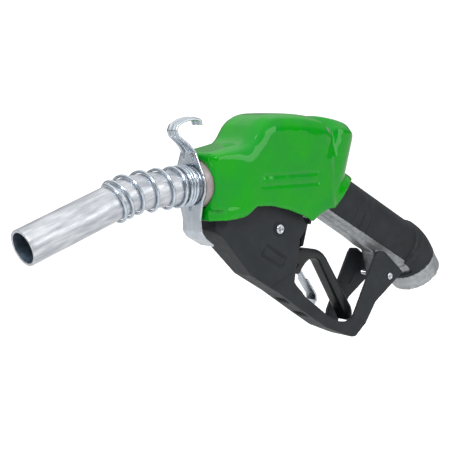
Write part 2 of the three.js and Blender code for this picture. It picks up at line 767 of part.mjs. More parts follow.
// The poppet, its rubber face and its stem hang on one axis, which is the group's Z axis.
function mainValve() {
  const group = new THREE.Group();
  group.position.set(VALVE.x, 0, VALVE.z);
  group.rotation.y = radians(VALVE.tilt);
  const stem = turned([
    [0, -VALVE.stemReach],
    [VALVE.stem, 0.65 * VALVE.stem - VALVE.stemReach],
    [VALVE.stem, 12],
    [0, 12],
  ], COARSE);
  const hub = VALVE.stem + CLEAR;
  const poppet = turned([
    [hub, 4.5], [VALVE.poppet, 4.5], [VALVE.poppet, 7], [8, 10.5], [hub, 10.5], [hub, 4.5],
  ]);
  const gasket = ring(CHAMBER.radius - 6, CHAMBER.radius - 1, CHAMBER.height - 6.2, CHAMBER.height - 4.3);
  group.add(
    piece('valve_seat', ring(SEAT.bore, SEAT.radius, -SEAT.depth, 1), 'brass'),
    piece('poppet_seal', ring(hub, VALVE.poppet - 0.8, 1.3, 4.2), 'rubber'),
    piece('main_poppet', poppet, 'brass'),
    piece('valve_stem', stem, 'zincPlate'),
    piece('main_spring', spring(10.5, 1.8, 10.5, CHAMBER.height - VALVE_CAP.plug, 5), 'springSteel'),
    piece('stem_packing', ring(hub, GLAND.packing, -39.7, -35.3, COARSE), 'rubber'),
    piece('packing_nut', packingNut(), 'brass'),
    piece('valve_cap', valveCap(), 'castAluminium'),
    piece('valve_cap_gasket', gasket, 'rubber'),
  );
  return group;
}

// ---------------------------------------------------------------- automatic latch

function latchPlunger() {
  const collar = PLUNGER_NUT.radius - CLEAR;
  const rod = turned([
    [0, 10.9 - LATCH.reach],
    [LATCH.plunger, 10.9 - LATCH.reach],
    [LATCH.plunger, -61],
    [collar, -61],
    [collar, -58],
    [LATCH.plunger, -58],
    [LATCH.plunger, -14],
    [LATCH_PIN.radius + CLEAR, -14],
    [LATCH_PIN.radius + CLEAR, -27],
    [0, -27],
  ], COARSE);
  const tongue = slab(polygon([
    [-6, -LATCH.reach], [-3.5, -LATCH.reach - 5.5], [3.5, -LATCH.reach - 5.5], [6, -LATCH.reach],
    [5, 14 - LATCH.reach], [-5, 14 - LATCH.reach],
  ]), LEVER.tongue);
  return cut(join(rod, tongue), crossBar({ x: 0, z: -LATCH.reach }, LEVER.pin + CLEAR, THROUGH));
}

function vacuumCap() {
  const foot = DIAPHRAGM.rubber + 2 * CLEAR;
  const top = foot + VACUUM_CAP.height;
  return turned([
    [VACUUM_CAP.recess, foot],
    [VACUUM_CAP.radius, foot],
    [VACUUM_CAP.radius, foot + 4],
    [VACUUM_CAP.recess + 1.5, top],
    [0, top],
    [0, top - 2],
    [9, top - 2],
    [VACUUM_CAP.recess, foot + 5],
    [VACUUM_CAP.recess, foot],
  ]);
}

function latchPin() {
  const foot = DIAPHRAGM.rubber + 2 * CLEAR;
  return turned([
    [0, foot - LATCH_PIN.length],
    [LATCH_PIN.radius, foot - LATCH_PIN.length],
    [LATCH_PIN.radius, foot],
    [VACUUM_CAP.recess - 3, foot],
    [VACUUM_CAP.recess - 3, foot + 1.5],
    [0, foot + 1.5],
  ], COARSE);
}

// Where one of the screws of the vacuum cap stands on its rim.
function screwPlace(index) {
  const angle = (2 * Math.PI * (index + 0.5)) / CAP_SCREW.count;
  const spread = VACUUM_CAP.radius - CAP_SCREW.inset;
  return [spread * Math.cos(angle), spread * Math.sin(angle)];
}

// A small screw that holds the vacuum cap down, sunk in its rim.
function capScrew(index) {
  const { radius, head, headFoot, headTop, foot } = CAP_SCREW;
  const screw = turned([
    [0, foot], [radius, foot], [radius, headFoot], [head, headFoot], [head, headTop], [0, headTop],
  ], 8);
  screw.translate(...screwPlace(index), 0);
  return screw;
}

function screwHoles() {
  const holes = [];
  for (let i = 0; i < CAP_SCREW.count; i += 1) {
    const [x, y] = screwPlace(i);
    const seat = CAP_SCREW.headFoot - CLEAR;
    holes.push(bar([x, y, CAP_SCREW.foot - 2], [x, y, seat + 1], CAP_SCREW.radius + CLEAR, 8));
    holes.push(bar([x, y, seat], [x, y, 30], CAP_SCREW.head + CLEAR, 8));
  }
  return holes;
}

function placeOnLatch(geometry) {
  geometry.rotateY(radians(LATCH.tilt));
  geometry.translate(LATCH.x, 0, LATCH.z);
  return geometry;
}

function latchPieces() {
  const group = new THREE.Group();
  group.position.set(LATCH.x, 0, LATCH.z);
  group.rotation.y = radians(LATCH.tilt);
  const foot = DIAPHRAGM.rubber + 2 * CLEAR;
  const rubber = ring(LATCH_PIN.radius + CLEAR, DIAPHRAGM.radius, CLEAR, CLEAR + DIAPHRAGM.rubber);
  const nutBore = LATCH.plunger + CLEAR;
  group.add(
    piece('diaphragm', cut(rubber, ...screwHoles()), 'rubber'),
    piece('latch_pin', latchPin(), 'zincPlate'),
    piece('diaphragm_spring', spring(6, 1, foot + 1.5, foot + VACUUM_CAP.height - 2, 3), 'springSteel'),
    piece('vacuum_cap', cut(vacuumCap(), ...screwHoles()), 'castAluminium'),
    piece('latch_plunger', latchPlunger(), 'zincPlate'),
    piece('plunger_spring', spring(7.6, 1.2, PLUNGER_NUT.top, -61, 4), 'springSteel'),
    piece('plunger_guide', ring(nutBore, PLUNGER_NUT.radius, PLUNGER_NUT.bottom, PLUNGER_NUT.top), 'brass'),
  );
  for (let i = 0; i < CAP_SCREW.count; i += 1) {
    group.add(piece(`vacuum_cap_screw_${i + 1}`, capScrew(i), 'zincPlate'));
  }
  return group;
}

// ---------------------------------------------------------------- lever and hold-open clip

function leverOutline() {
  const shape = new THREE.Shape();
  shape.moveTo(pivot.x + 2, pivot.z + LEVER.pivotBoss);
  shape.lineTo(151, -63);
  shape.quadraticCurveTo(168, -72.6, contact.x - 4, contact.z);
  shape.lineTo(contact.x + 5, contact.z - 0.4);
  shape.lineTo(204, -76.4);
  shape.quadraticCurveTo(215.5, -78, 222, -87.5);
  shape.lineTo(255.5, -142);
  shape.quadraticCurveTo(259, -151, 254, -157);
  shape.lineTo(248.5, -155);
  shape.lineTo(213, -91.5);
  shape.quadraticCurveTo(207.5, -83.6, 198, -86.6);
  shape.quadraticCurveTo(190, -90, 185, -98);
  shape.lineTo(169, -95);
  shape.lineTo(pivot.x + 2, pivot.z - LEVER.pivotBoss);
  shape.lineTo(pivot.x - 6, pivot.z - 6);
  shape.lineTo(pivot.x - LEVER.pivotBoss, pivot.z);
  shape.lineTo(pivot.x - 6, pivot.z + 6);
  return shape;
}

function lever() {
  const body = slab(leverOutline(), LEVER.width, { across: LEVER.round, segments: 2, curve: 4 });
  const frontFork = slab(circle(pivot.x, pivot.z, LEVER.pivotBoss + 2.5), LEVER.tongue + 3 * CLEAR);
  const clipSlot = slab(polygon([
    [173, -82], [188, -82], [203, -92], [203, -115], [160, -115], [173, -97],
  ]), CLIP.width + 3 * CLEAR);
  return cut(
    body,
    frontFork,
    clipSlot,
    crossBar(pivot, LEVER.pin + CLEAR, THROUGH),
    crossBar(CLIP, CLIP.pin + CLEAR, THROUGH),
  );
}

function holdOpenClip() {
  const leaf = new THREE.Shape(stripPoints([
    [CLIP.x + 2.4, CLIP.z - 2], [189, -95], [206, -121], [206.5, -127], [202, -131],
  ], CLIP.sheet));
  const outside = slab(polygon([[180, -104], [230, -104], [230, -140], [180, -140]]), THROUGH);
  const eye = slab(circle(CLIP.x, CLIP.z, CLIP.eye), CLIP.width);
  const springGap = slab(circle(CLIP.x, CLIP.z, CLIP.eye + 1.2), CLIP.width - 3);
  return cut(
    join(slab(leaf, CLIP.width), common(slab(leaf, CLIP.leafWidth), outside), eye),
    springGap,
    crossBar(CLIP, CLIP.pin + CLEAR, THROUGH),
  );
}

function leverPieces() {
  const clipSpring = spring(CLIP.pin + CLEAR + 0.6, 0.7, -2.3, 2.3, 3);
  clipSpring.rotateX(Math.PI / 2);
  clipSpring.translate(CLIP.x, 0, CLIP.z);
  const group = new THREE.Group();
  group.add(
    piece('lever', lever(), 'blackMoulding'),
    piece('lever_pivot_pin', crossBar(pivot, LEVER.pin, LEVER.width - 1), 'zincPlate'),
    piece('hold_open_clip', holdOpenClip(), 'zincPlate'),
    piece('clip_pin', crossBar(CLIP, CLIP.pin, LEVER.width - 3), 'zincPlate'),
    piece('clip_spring', clipSpring, 'springSteel'),
  );
  return group;
}

// ---------------------------------------------------------------- guard

// The width of the guard: flat sides that draw in towards its foot, and chamfered front corners.
// An inset gives the space between its plates.
function guardWidth(inset) {
  const foot = GUARD.footWidth / 2 - inset;
  const half = GUARD.width / 2 - inset;
  const section = new THREE.ExtrudeGeometry(polygon([
    [-foot, -THROUGH], [foot, -THROUGH], [foot, 0], [half, GUARD.taperHeight], [half, THROUGH],
    [-half, THROUGH], [-half, GUARD.taperHeight], [-foot, 0],
  ]), { depth: 2 * THROUGH, bevelEnabled: false });
  section.translate(0, 0, -THROUGH);
  section.rotateX(Math.PI / 2);
  section.rotateZ(Math.PI / 2);
  section.rotateY(radians(GUARD_FOOT.slope));
  section.translate(GUARD_FOOT.x, 0, GUARD_FOOT.z);
  const front = GUARD.front + inset;
  const frontHalf = GUARD.frontWidth / 2 - inset / 2;
  const shoulder = front + GUARD.chamfer;
  const plan = tower(polygon([
    [front, -frontHalf], [shoulder, -half], [THROUGH * 2, -half], [THROUGH * 2, half],
    [shoulder, half], [front, frontHalf],
  ]), -THROUGH, THROUGH);
  return common(section, plan);
}

function leverGuard() {
  const rim = polygon([
    [GUARD.front, 30], [GUARD.front, -41.5], [GUARD_FOOT.x, GUARD_FOOT.z], [152, -109.5], [191, -138.5], [214, -155], [236, -165.5],
    [247, -170.5], [252, -171], [278, -140], [322, -117], [340, -60], [340, 30],
  ]);
  const block = common(slab(rim, GUARD.width), guardWidth(0));
  const keep = slab(polygon([
    [74, -22], [86, -22], [90, GUARD.top], [176, GUARD.top], [180, -44], [185.5, -50], [174, -62],
    [173.5, -68], [171, -82.4], [167, -89], [168, -101.5], [184, -118.7], [213, -141.8], [229, -151],
    [237, -152.6], [243, -151], [279.5, -94], [283.5, -90], [293, -91.5], [304, -101], [321, -117],
    [282, -138], [252, -176], [200, -176], [100, -100], [74, -60],
  ]), THROUGH);
  const space = slab(new THREE.Shape(insetPoints(rim.getPoints(), GUARD.floor)), GUARD.width);
  const bay = common(space, guardWidth(GUARD.wall));
  const rearDoor = common(slab(polygon([
    [238, -165], [250, -171], [262, -180], [350, -180], [350, -60], [268, -60], [262, -100], [240, -140],
  ]), GUARD.width), guardWidth(GUARD.wall));
  const nose = bar([0, 0, 0], [140, 0, 0], NOSE.radius + CLEAR, FINE);
  const slots = DRAIN.places.map((x) => {
    const z = -109.5 - (x - 152) * 0.742;
    const end = x + DRAIN.length;
    return slab(polygon([[x, z - 12], [end, z - 18], [end, z + 9], [x, z + 15]]), DRAIN.width);
  });
  return cut(
    common(block, keep),
    bay,
    rearDoor,
    nose,
    ...slots,
    crossBar(FRONT_PIN, FRONT_PIN.radius + CLEAR, THROUGH),
    crossBar(REAR_PIN, REAR_PIN.radius + CLEAR, THROUGH),
  );
}

// A headed rivet through both side plates of the guard.
function guardPin(pin) {
  const half = GUARD.width / 2 + CLEAR;
  const end = half + pin.headHeight;
  const geometry = turned([
    [0, -end],
    [pin.head, -end],
    [pin.head, -half],
    [pin.radius, -half],
    [pin.radius, half],
    [pin.head, half],
    [pin.head, end],
    [0, end],
  ], COARSE);
  geometry.rotateX(Math.PI / 2);
  geometry.translate(pin.x, 0, pin.z);
  return geometry;
}

// ---------------------------------------------------------------- assembly

function bodyPieces() {
  const holes = screwHoles().map(placeOnLatch);
  const strainer = piece('inlet_strainer', inletStrainer(), 'brass');
  const mouthHeading = mouth.heading;
  const strainerFoot = handleLine.at(handleLine.total - INLET.socketDepth + CLEAR);
  strainer.position.set(strainerFoot.x, 0, strainerFoot.z);
  strainer.rotation.y = -Math.PI / 2 - mouthHeading;
  const group = new THREE.Group();
  group.add(
    piece('body_casting', cut(bodyCasting(), ...holes), 'castAluminium'),
    piece('body_cover', bodyCover(), 'greenVinyl'),
    piece('grip_cover', gripCover(), 'blackMoulding'),
    piece('lever_guard', leverGuard(), 'blackMoulding'),
    piece('front_guard_pin', guardPin(FRONT_PIN), 'zincPlate'),
    piece('rear_guard_pin', guardPin(REAR_PIN), 'zincPlate'),
    strainer,
  );
  return group;
}

const nozzle = new THREE.Group();
nozzle.name = 'fuel_nozzle';
nozzle.position.set(-mouth.x, 0, -mouth.z);
nozzle.add(bodyPieces(), spoutPieces(), mainValve(), latchPieces(), leverPieces());

export default nozzle;
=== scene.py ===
"""Looks of an automatic fuel nozzle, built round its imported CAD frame."""

import json
import logging
import math
from collections.abc import Callable, Sequence
from dataclasses import dataclass, field, replace
from enum import Enum

import bmesh
import bpy
from mathutils import Matrix, Vector


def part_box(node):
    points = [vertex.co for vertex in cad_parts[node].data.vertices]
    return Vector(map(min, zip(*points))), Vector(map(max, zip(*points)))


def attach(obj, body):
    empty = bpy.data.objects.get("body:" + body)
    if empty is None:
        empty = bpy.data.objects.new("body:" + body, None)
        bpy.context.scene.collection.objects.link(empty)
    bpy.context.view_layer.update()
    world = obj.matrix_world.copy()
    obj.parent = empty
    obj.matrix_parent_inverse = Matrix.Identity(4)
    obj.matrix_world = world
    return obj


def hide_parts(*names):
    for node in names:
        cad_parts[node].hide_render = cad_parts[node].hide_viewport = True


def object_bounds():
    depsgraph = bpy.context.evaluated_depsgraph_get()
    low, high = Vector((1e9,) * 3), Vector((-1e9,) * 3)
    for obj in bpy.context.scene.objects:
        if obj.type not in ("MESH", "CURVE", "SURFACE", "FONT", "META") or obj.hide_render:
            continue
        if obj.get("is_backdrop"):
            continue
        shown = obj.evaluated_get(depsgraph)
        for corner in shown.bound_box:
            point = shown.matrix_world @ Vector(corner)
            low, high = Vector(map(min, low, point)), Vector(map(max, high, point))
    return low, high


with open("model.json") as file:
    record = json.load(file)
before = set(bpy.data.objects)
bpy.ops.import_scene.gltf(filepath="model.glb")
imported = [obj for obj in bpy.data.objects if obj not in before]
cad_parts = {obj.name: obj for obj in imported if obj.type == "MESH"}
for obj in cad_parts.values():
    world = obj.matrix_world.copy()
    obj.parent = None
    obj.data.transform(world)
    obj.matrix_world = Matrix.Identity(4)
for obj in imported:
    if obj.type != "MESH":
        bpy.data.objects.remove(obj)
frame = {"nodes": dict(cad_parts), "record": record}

log = logging.getLogger("fuel_nozzle")

MM = 0.001
BODY = "body"
# Spout inside the body, from where its legs meet to its end, in millimetres.
SPOUT_IN_BODY = 96.0

# --------------------------------------------------------------------------- layout


def spout_origin() -> Vector:
    """Finds where the axes of the spout's two straight legs meet.

    Returns:
        The point, in metres. All sizes below are millimetres from it.
    """
    low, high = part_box("spout_bushing")
    return Vector((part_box("spout_tube")[1].x - SPOUT_IN_BODY * MM, 0.0, (low.z + high.z) / 2))


ORIGIN = spout_origin()


def place(x: float, y: float, z: float) -> Vector:
    """Turns a point in nozzle millimetres into one in the frame's metres."""
    return ORIGIN + Vector((x, y, z)) * MM


def local(point: Vector) -> Vector:
    """Turns a point in the frame's metres into one in nozzle millimetres."""
    return (point - ORIGIN) / MM


@dataclass(frozen=True)
class BentLine:
    """A straight line, an arc and a straight line in the nozzle's middle plane, in millimetres."""

    x: float
    z: float
    heading: float
    first: float
    radius: float
    turn: float

    @property
    def arc(self) -> float:
        """Length of the bend."""
        return self.radius * abs(self.turn)

    def at(self, distance: float) -> tuple[float, float, float]:
        """Finds a point along the line.

        Args:
            distance: Length from the line's start.

        Returns:
            Its x and z, and the heading there, from +X towards +Z.
        """
        side = math.copysign(1.0, self.turn)
        bent = min(max(distance - self.first, 0.0), self.arc)
        heading = self.heading + side * bent / self.radius
        straight = min(distance, self.first)
        after = max(distance - self.first - self.arc, 0.0)
        swing = side * self.radius
        x = self.x + math.cos(self.heading) * straight + math.cos(heading) * after
        z = self.z + math.sin(self.heading) * straight + math.sin(heading) * after
        x += swing * (math.sin(heading) - math.sin(self.heading))
        z -= swing * (math.cos(heading) - math.cos(self.heading))
        return x, z, heading

    def locate(self, x: float, z: float) -> tuple[float, float]:
        """Finds where a point lies beside the line.

        Args:
            x: Its x.
            z: Its z.

        Returns:
            The distance along the line, and the height above it, square to it.
        """
        cosine, sine = math.cos(self.heading), math.sin(self.heading)
        along = (x - self.x) * cosine + (z - self.z) * sine
        if along <= self.first:
            return along, (z - self.z) * cosine - (x - self.x) * sine
        side = math.copysign(1.0, self.turn)
        bend_x, bend_z, _ = self.at(self.first)
        centre_x = bend_x - side * self.radius * sine
        centre_z = bend_z + side * self.radius * cosine
        reach = math.hypot(x - centre_x, z - centre_z)
        angle = math.atan2(side * (x - centre_x), side * (centre_z - z))
        swept = (angle - self.heading + math.pi) % (2 * math.pi) - math.pi
        swept *= side
        if swept <= abs(self.turn):
            return self.first + swept * self.radius, side * (self.radius - reach)
        end_x, end_z, heading = self.at(self.first + self.arc)
        cosine, sine = math.cos(heading), math.sin(heading)
        along = (x - end_x) * cosine + (z - end_z) * sine
        return self.first + self.arc + along, (z - end_z) * cosine - (x - end_x) * sine

    def beside(self, distance: float, across: float, up: float) -> Vector:
        """Finds a point beside the line.

        Args:
            distance: Length from the line's start.
            across: How far the point is off the middle plane.
            up: How far it is above the line, square to it.

        Returns:
            The point, in nozzle millimetres.
        """
        x, z, heading = self.at(distance)
        return Vector((x - up * math.sin(heading), across, z + up * math.cos(heading)))


SPOUT_DROOP = math.radians(15.9)
SPOUT_BEND = 60.0
SPOUT_TANGENT = SPOUT_BEND * math.tan(SPOUT_DROOP / 2)
SPOUT_LINE = BentLine(
    SPOUT_IN_BODY, 0.0, math.pi, SPOUT_IN_BODY - SPOUT_TANGENT, SPOUT_BEND, SPOUT_DROOP,
)
HANDLE_LINE = BentLine(226.0, -26.3, math.radians(-31.2), 130.0, 45.0, math.radians(-24.8))

# --------------------------------------------------------------------------- finishes


def linear(code: str) -> tuple[float, float, float, float]:
    """Turns an sRGB hex colour into a linear one.

    Args:
        code: Six hex digits.

    Returns:
        Red, green, blue and an alpha of one.
    """
    parts = [int(code[i:i + 2], 16) / 255 for i in (0, 2, 4)]
    red, green, blue = (p / 12.92 if p <= 0.04045 else ((p + 0.055) / 1.055) ** 2.4 for p in parts)
    return red, green, blue, 1.0


def node(tree: bpy.types.NodeTree, kind: str, links: dict | None = None, **settings) -> bpy.types.Node:
    """Adds a node with its settings, values and links.

    Args:
        tree: The tree that it goes into.
        kind: The node's type.
        links: A value or an output socket for each named or numbered input.
        **settings: The node's own properties.

    Returns:
        The node.
    """
    made = tree.nodes.new(kind)
    for name, value in settings.items():
        setattr(made, name, value)
    for key, value in (links or {}).items():
        if isinstance(value, bpy.types.NodeSocket):
            tree.links.new(value, made.inputs[key])
        else:
            made.inputs[key].default_value = value
    return made


class Stretch(Enum):
    """How a surface's marks are drawn out."""

    NONE = (1.0, 1.0, 1.0)
    DRAWN = (6.0, 1.0, 1.0)


@dataclass(frozen=True)
class Finish:
    """One real material and the way its surface was made.

    Colours are sRGB hex, patch and grain sizes are millimetres across.
    """

    name: str
    light: str
    dark: str
    metallic: float = 0.0
    smooth: float = 0.4
    rough: float = 0.55
    patch: float = 14.0
    grain: float = 1.2
    relief: float = 0.05
    wave: float = 0.0
    wave_size: float = 16.0
    ior: float = 1.5
    shine: float = 0.5
    coat: float = 0.0
    stretch: Stretch = Stretch.NONE
    tilt: float = 0.0

    def build(self) -> bpy.types.Material:
        """Makes the material's nodes.

        Returns:
            The material.
        """
        material = bpy.data.materials.new(self.name)
        material.use_nodes = True
        tree = material.node_tree
        tree.nodes.clear()
        shader = node(tree, "ShaderNodeBsdfPrincipled", {"Metallic": self.metallic, "Coat Weight": self.coat})
        if not self.metallic:
            shader.inputs["IOR"].default_value = self.ior
            shader.inputs["Specular IOR Level"].default_value = self.shine
        if self.coat:
            shader.inputs["Coat Roughness"].default_value = 0.06
        node(tree, "ShaderNodeOutputMaterial", {"Surface": shader.outputs["BSDF"]})
        coordinates = node(tree, "ShaderNodeTexCoord").outputs["Object"]
        marks = node(tree, "ShaderNodeMapping", {
            "Vector": coordinates,
            "Rotation": (0.0, self.tilt, 0.0),
            "Scale": self.stretch.value,
        }, vector_type="TEXTURE").outputs["Vector"]
        patches = node(tree, "ShaderNodeTexNoise", {
            "Vector": marks, "Scale": 1 / (self.patch * MM), "Detail": 3.0, "Roughness": 0.55,
        }).outputs["Fac"]
        spread = node(tree, "ShaderNodeMapRange", {
            "Value": patches, "From Min": 0.34, "From Max": 0.66,
        }).outputs["Result"]
        colour = node(tree, "ShaderNodeMix", {
            0: spread, 6: linear(self.dark), 7: linear(self.light),
        }, data_type="RGBA").outputs[2]
        tree.links.new(colour, shader.inputs["Base Color"])
        scuffs = node(tree, "ShaderNodeTexNoise", {
            "Vector": marks, "Scale": 2.3 / (self.patch * MM), "Detail": 5.0, "Roughness": 0.65,
        }).outputs["Fac"]
        roughness = node(tree, "ShaderNodeMapRange", {
            "Value": scuffs, "From Min": 0.3, "From Max": 0.7, "To Min": self.smooth, "To Max": self.rough,
        }).outputs["Result"]
        tree.links.new(roughness, shader.inputs["Roughness"])
        fine = node(tree, "ShaderNodeTexNoise", {
            "Vector": marks, "Scale": 1 / (self.grain * MM), "Detail": 2.0,
        }).outputs["Fac"]
        relief = node(tree, "ShaderNodeBump", {"Height": fine, "Distance": self.relief * MM, "Strength": 1.0})
        if self.wave:
            swell = node(tree, "ShaderNodeTexNoise", {
                "Vector": coordinates, "Scale": 1 / (self.wave_size * MM), "Detail": 1.0,
            }).outputs["Fac"]
            waves = node(tree, "ShaderNodeBump", {
                "Height": swell, "Distance": self.wave * MM, "Strength": 1.0,
            })
            tree.links.new(waves.outputs["Normal"], relief.inputs["Normal"])
        tree.links.new(relief.outputs["Normal"], shader.inputs["Normal"])
        return material


# Drawn aluminium tube, tumbled: satin, with faint draw lines along it and rubbed patches.
DRAWN_TUBE = Finish("aluminium_tube_drawn", "E4E6EA", "BBC0C8", 1.0, 0.3, 0.5, 3.5, 1.1, 0.06,
                    stretch=Stretch.DRAWN, tilt=-SPOUT_DROOP)
# The tube's bore, coloured dark blue-grey as painted shade inside the tube: dull and dark.
BORE_PAINTED_SHADE = Finish("aluminium_bore_painted_shade", "5E6F80", "33414E", 0.6, 0.4, 0.6, 9.0, 1.0, 0.04)
# Spring steel wire with bright zinc plate: hard, clear reflections.
ZINC_WIRE = Finish("spring_steel_zinc_plated", "DCE4EC", "BCC8D4", 1.0, 0.12, 0.2, 6.0, 0.7, 0.005)
# Pressed steel sheet with bright zinc plate: nearly a mirror, with cloudy patches.
ZINC_SHEET = Finish("steel_sheet_zinc_plated", "D6DDE4", "BEC7D0", 1.0, 0.2, 0.3, 12.0, 1.1, 0.01)
# Turned steel rivets and pins with zinc plate.
ZINC_PIN = Finish("steel_pin_zinc_plated", "E6EAEE", "B9C0C8", 1.0, 0.22, 0.34, 4.0, 0.5, 0.01)
# PVC plastisol, hot dipped: glossy, a little wavy, with faint changes in depth of green.
DIPPED_VINYL = Finish("pvc_plastisol_dipped", "009E02", "00941F", 0.0, 0.05, 0.09, 30.0, 2.4, 0.005,
                      wave=0.8, wave_size=16.0, ior=1.45)
# Glass-filled nylon, moulded: charcoal and matt, with a fine eroded texture.
MOULDED_GUARD = Finish("nylon_glass_filled_moulded", "2A2E33", "22262B", 0.0, 0.44, 0.58, 18.0, 0.8, 0.05,
                       shine=0.3)
# Thermoplastic rubber, moulded: charcoal, a shade softer than the guard.
MOULDED_GRIP = Finish("rubber_thermoplastic_moulded", "262A2F", "1D2125", 0.0, 0.42, 0.58, 15.0, 0.8, 0.05,
                      shine=0.3)
# Acetal, moulded: near black with a soft polish.
MOULDED_LEVER = Finish("acetal_moulded", "15181B", "0D0F11", 0.0, 0.26, 0.42, 12.0, 0.8, 0.03)
# Aluminium die casting: light grey and grainy, with dull blotches.
DIE_CAST = Finish("aluminium_die_cast", "BFC2C4", "A2A6AA", 1.0, 0.4, 0.56, 5.0, 0.7, 0.06)
# Unfilled nylon, moulded: grey with a touch of pink, slightly waxy.
GREY_NYLON = Finish("nylon_unfilled_moulded", "B5A9AA", "978B8D", 0.0, 0.4, 0.55, 8.0, 0.9, 0.03)
# Nitrile rubber, moulded.
NITRILE = Finish("nitrile_rubber_moulded", "1E1F20", "131414", 0.0, 0.55, 0.7, 6.0, 0.6, 0.03)
# Turned brass with dull nickel plate: warm grey.
TURNED_BRASS = Finish("brass_nickel_plated", "A39C8C", "7F796B", 1.0, 0.3, 0.45, 7.0, 0.4, 0.02)
# Turned steel, blackened: dark grey with a soft sheen.
BLACK_STEEL = Finish("steel_blackened", "2C2E31", "1D1F22", 1.0, 0.35, 0.5, 5.0, 0.4, 0.02)
# Turned aluminium: bright, with fine tool marks.
TURNED_ALLOY = Finish("aluminium_turned", "D0D2D4", "A6A9AC", 1.0, 0.28, 0.42, 8.0, 0.4, 0.02)

# --------------------------------------------------------------------------- mesh helpers


def to_object(name: str, mesh: bpy.types.Mesh, finishes: Sequence[Finish]) -> bpy.types.Object:
    """Puts a mesh into the scene with its materials.

    Args:
        name: The object's name.
        mesh: Its mesh.
        finishes: Its finishes, in slot order.

    Returns:
        The object, at the origin.
    """
    made = bpy.data.objects.new(name, mesh)
    bpy.context.scene.collection.objects.link(made)
    mesh.materials.clear()
    for finish in finishes:
        mesh.materials.append(finish.build())
    for face in mesh.polygons:
        face.use_smooth = True
    return made


def settle(made: bpy.types.Object) -> None:
    """Applies an object's modifiers to its mesh."""
    bpy.context.view_layer.update()
    shape = made.evaluated_get(bpy.context.evaluated_depsgraph_get())
    mesh = bpy.data.meshes.new_from_object(shape)
    made.modifiers.clear()
    made.data = mesh


def fasten(made: bpy.types.Object, body: str, slot: str, *nodes: str) -> bpy.types.Object:
    """Hangs a piece on the body that it rides on and hides the CAD nodes that it stands for."""
    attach(made, body)
    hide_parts(*nodes)
    log.info("%s: %d faces on %s", made.name, len(made.data.polygons), body)
    return made


def merged_copy(name: str) -> bmesh.types.BMesh:
    """Copies a CAD node's mesh with its loose triangles joined."""
    shape = bmesh.new()
    shape.from_mesh(frame["nodes"][name].data)
    bmesh.ops.remove_doubles(shape, verts=shape.verts, dist=1e-6)
    return shape


def add_bar(shape: bmesh.types.BMesh, start: Vector, end: Vector, radius: float, sides: int = 16) -> None:
    """Adds a round bar with domed ends to a mesh.

    Args:
        shape: The mesh.
        start: One end, in metres.
        end: The other end.
        radius: Its radius, in millimetres.
        sides: Its number of sides.
    """
    along = end - start
    turn = along.to_track_quat("Z", "Y").to_matrix().to_4x4()
    bmesh.ops.create_cone(
        shape, cap_ends=True, segments=sides, radius1=radius * MM, radius2=radius * MM, depth=along.length,
        matrix=Matrix.Translation((start + end) / 2) @ turn,
    )
    for point in (start, end):
        bmesh.ops.create_icosphere(
            shape, subdivisions=2, radius=radius * MM, matrix=Matrix.Translation(point),
        )


def turned(profile: Sequence[tuple[float, float]], steps: int = 64) -> bmesh.types.BMesh:
    """Spins a closed profile once round Z.

    Args:
        profile: Radius and height of each corner, in millimetres.
        steps: Steps round the circle.

    Returns:
        The mesh, with its normals outwards.
    """
    shape = bmesh.new()
    corners = [shape.verts.new((radius * MM, 0.0, height * MM)) for radius, height in profile]
    edges = [shape.edges.new((a, b)) for a, b in zip(corners, corners[1:] + corners[:1])]
    bmesh.ops.spin(
        shape, geom=corners + edges, cent=(0, 0, 0), axis=(0, 0, 1), angle=2 * math.pi,
        steps=steps, use_merge=True,
    )
    bmesh.ops.remove_doubles(shape, verts=shape.verts, dist=1e-7)
    bmesh.ops.recalc_face_normals(shape, faces=shape.faces)
    return shape


def baked(shape: bmesh.types.BMesh) -> bpy.types.Mesh:
    """Writes a mesh out and frees its working copy."""
    mesh = bpy.data.meshes.new("shape")
    shape.to_mesh(mesh)
    shape.free()
    return mesh


def grown(shape: bmesh.types.BMesh, name: str, finishes: Sequence[Finish], voxel: float) -> bpy.types.Object:
    """Fuses a mesh's shells into one even skin.

    Args:
        shape: The mesh, with any extra shells added.
        name: The new piece's name.
        finishes: Its finishes.
        voxel: The grid's step, in millimetres.

    Returns:
        The new piece.
    """
    made = to_object(name, baked(shape), finishes)
    skin = made.modifiers.new("skin", "REMESH")
    skin.mode = "VOXEL"
    skin.voxel_size = voxel * MM
    settle(made)
    return made


def smoothed(made: bpy.types.Object, passes: int, weight: Callable[[Vector], float] | None = None) -> None:
    """Relaxes a piece's skin, then shades it smooth.

    Args:
        made: The piece.
        passes: How many times.
        weight: How much each point moves, from its place in nozzle millimetres.
    """
    ease = made.modifiers.new("ease", "SMOOTH")
    ease.factor = 0.5
    ease.iterations = passes
    if weight:
        group = made.vertex_groups.new(name="ease")
        for vertex in made.data.vertices:
            group.add([vertex.index], weight(local(vertex.co)), "REPLACE")
        ease.vertex_group = "ease"
    settle(made)
    made.vertex_groups.clear()
    for face in made.data.polygons:
        face.use_smooth = True


def reshape(made: bpy.types.Object, move: Callable[[Vector], Vector | None]) -> None:
    """Moves a piece's points.

    Args:
        made: The piece.
        move: Gives a point's new place from its old one, both in nozzle millimetres, or None to leave it.
    """
    for vertex in made.data.vertices:
        moved = move(local(vertex.co))
        if moved is not None:
            vertex.co = ORIGIN + moved * MM


def ramp(value: float, start: float, end: float) -> float:
    """Rises smoothly from nought at start to one at end."""
    share = min(max((value - start) / (end - start), 0.0), 1.0)
    return share * share * (3 - 2 * share)


def from_segment(x: float, z: float, ends: tuple[float, float, float, float]) -> float:
    """Distance of a point from a segment in the nozzle's middle plane."""
    x1, z1, x2, z2 = ends
    along = ((x - x1) * (x2 - x1) + (z - z1) * (z2 - z1)) / ((x2 - x1) ** 2 + (z2 - z1) ** 2)
    along = min(max(along, 0.0), 1.0)
    return math.hypot(x - x1 - along * (x2 - x1), z - z1 - along * (z2 - z1))


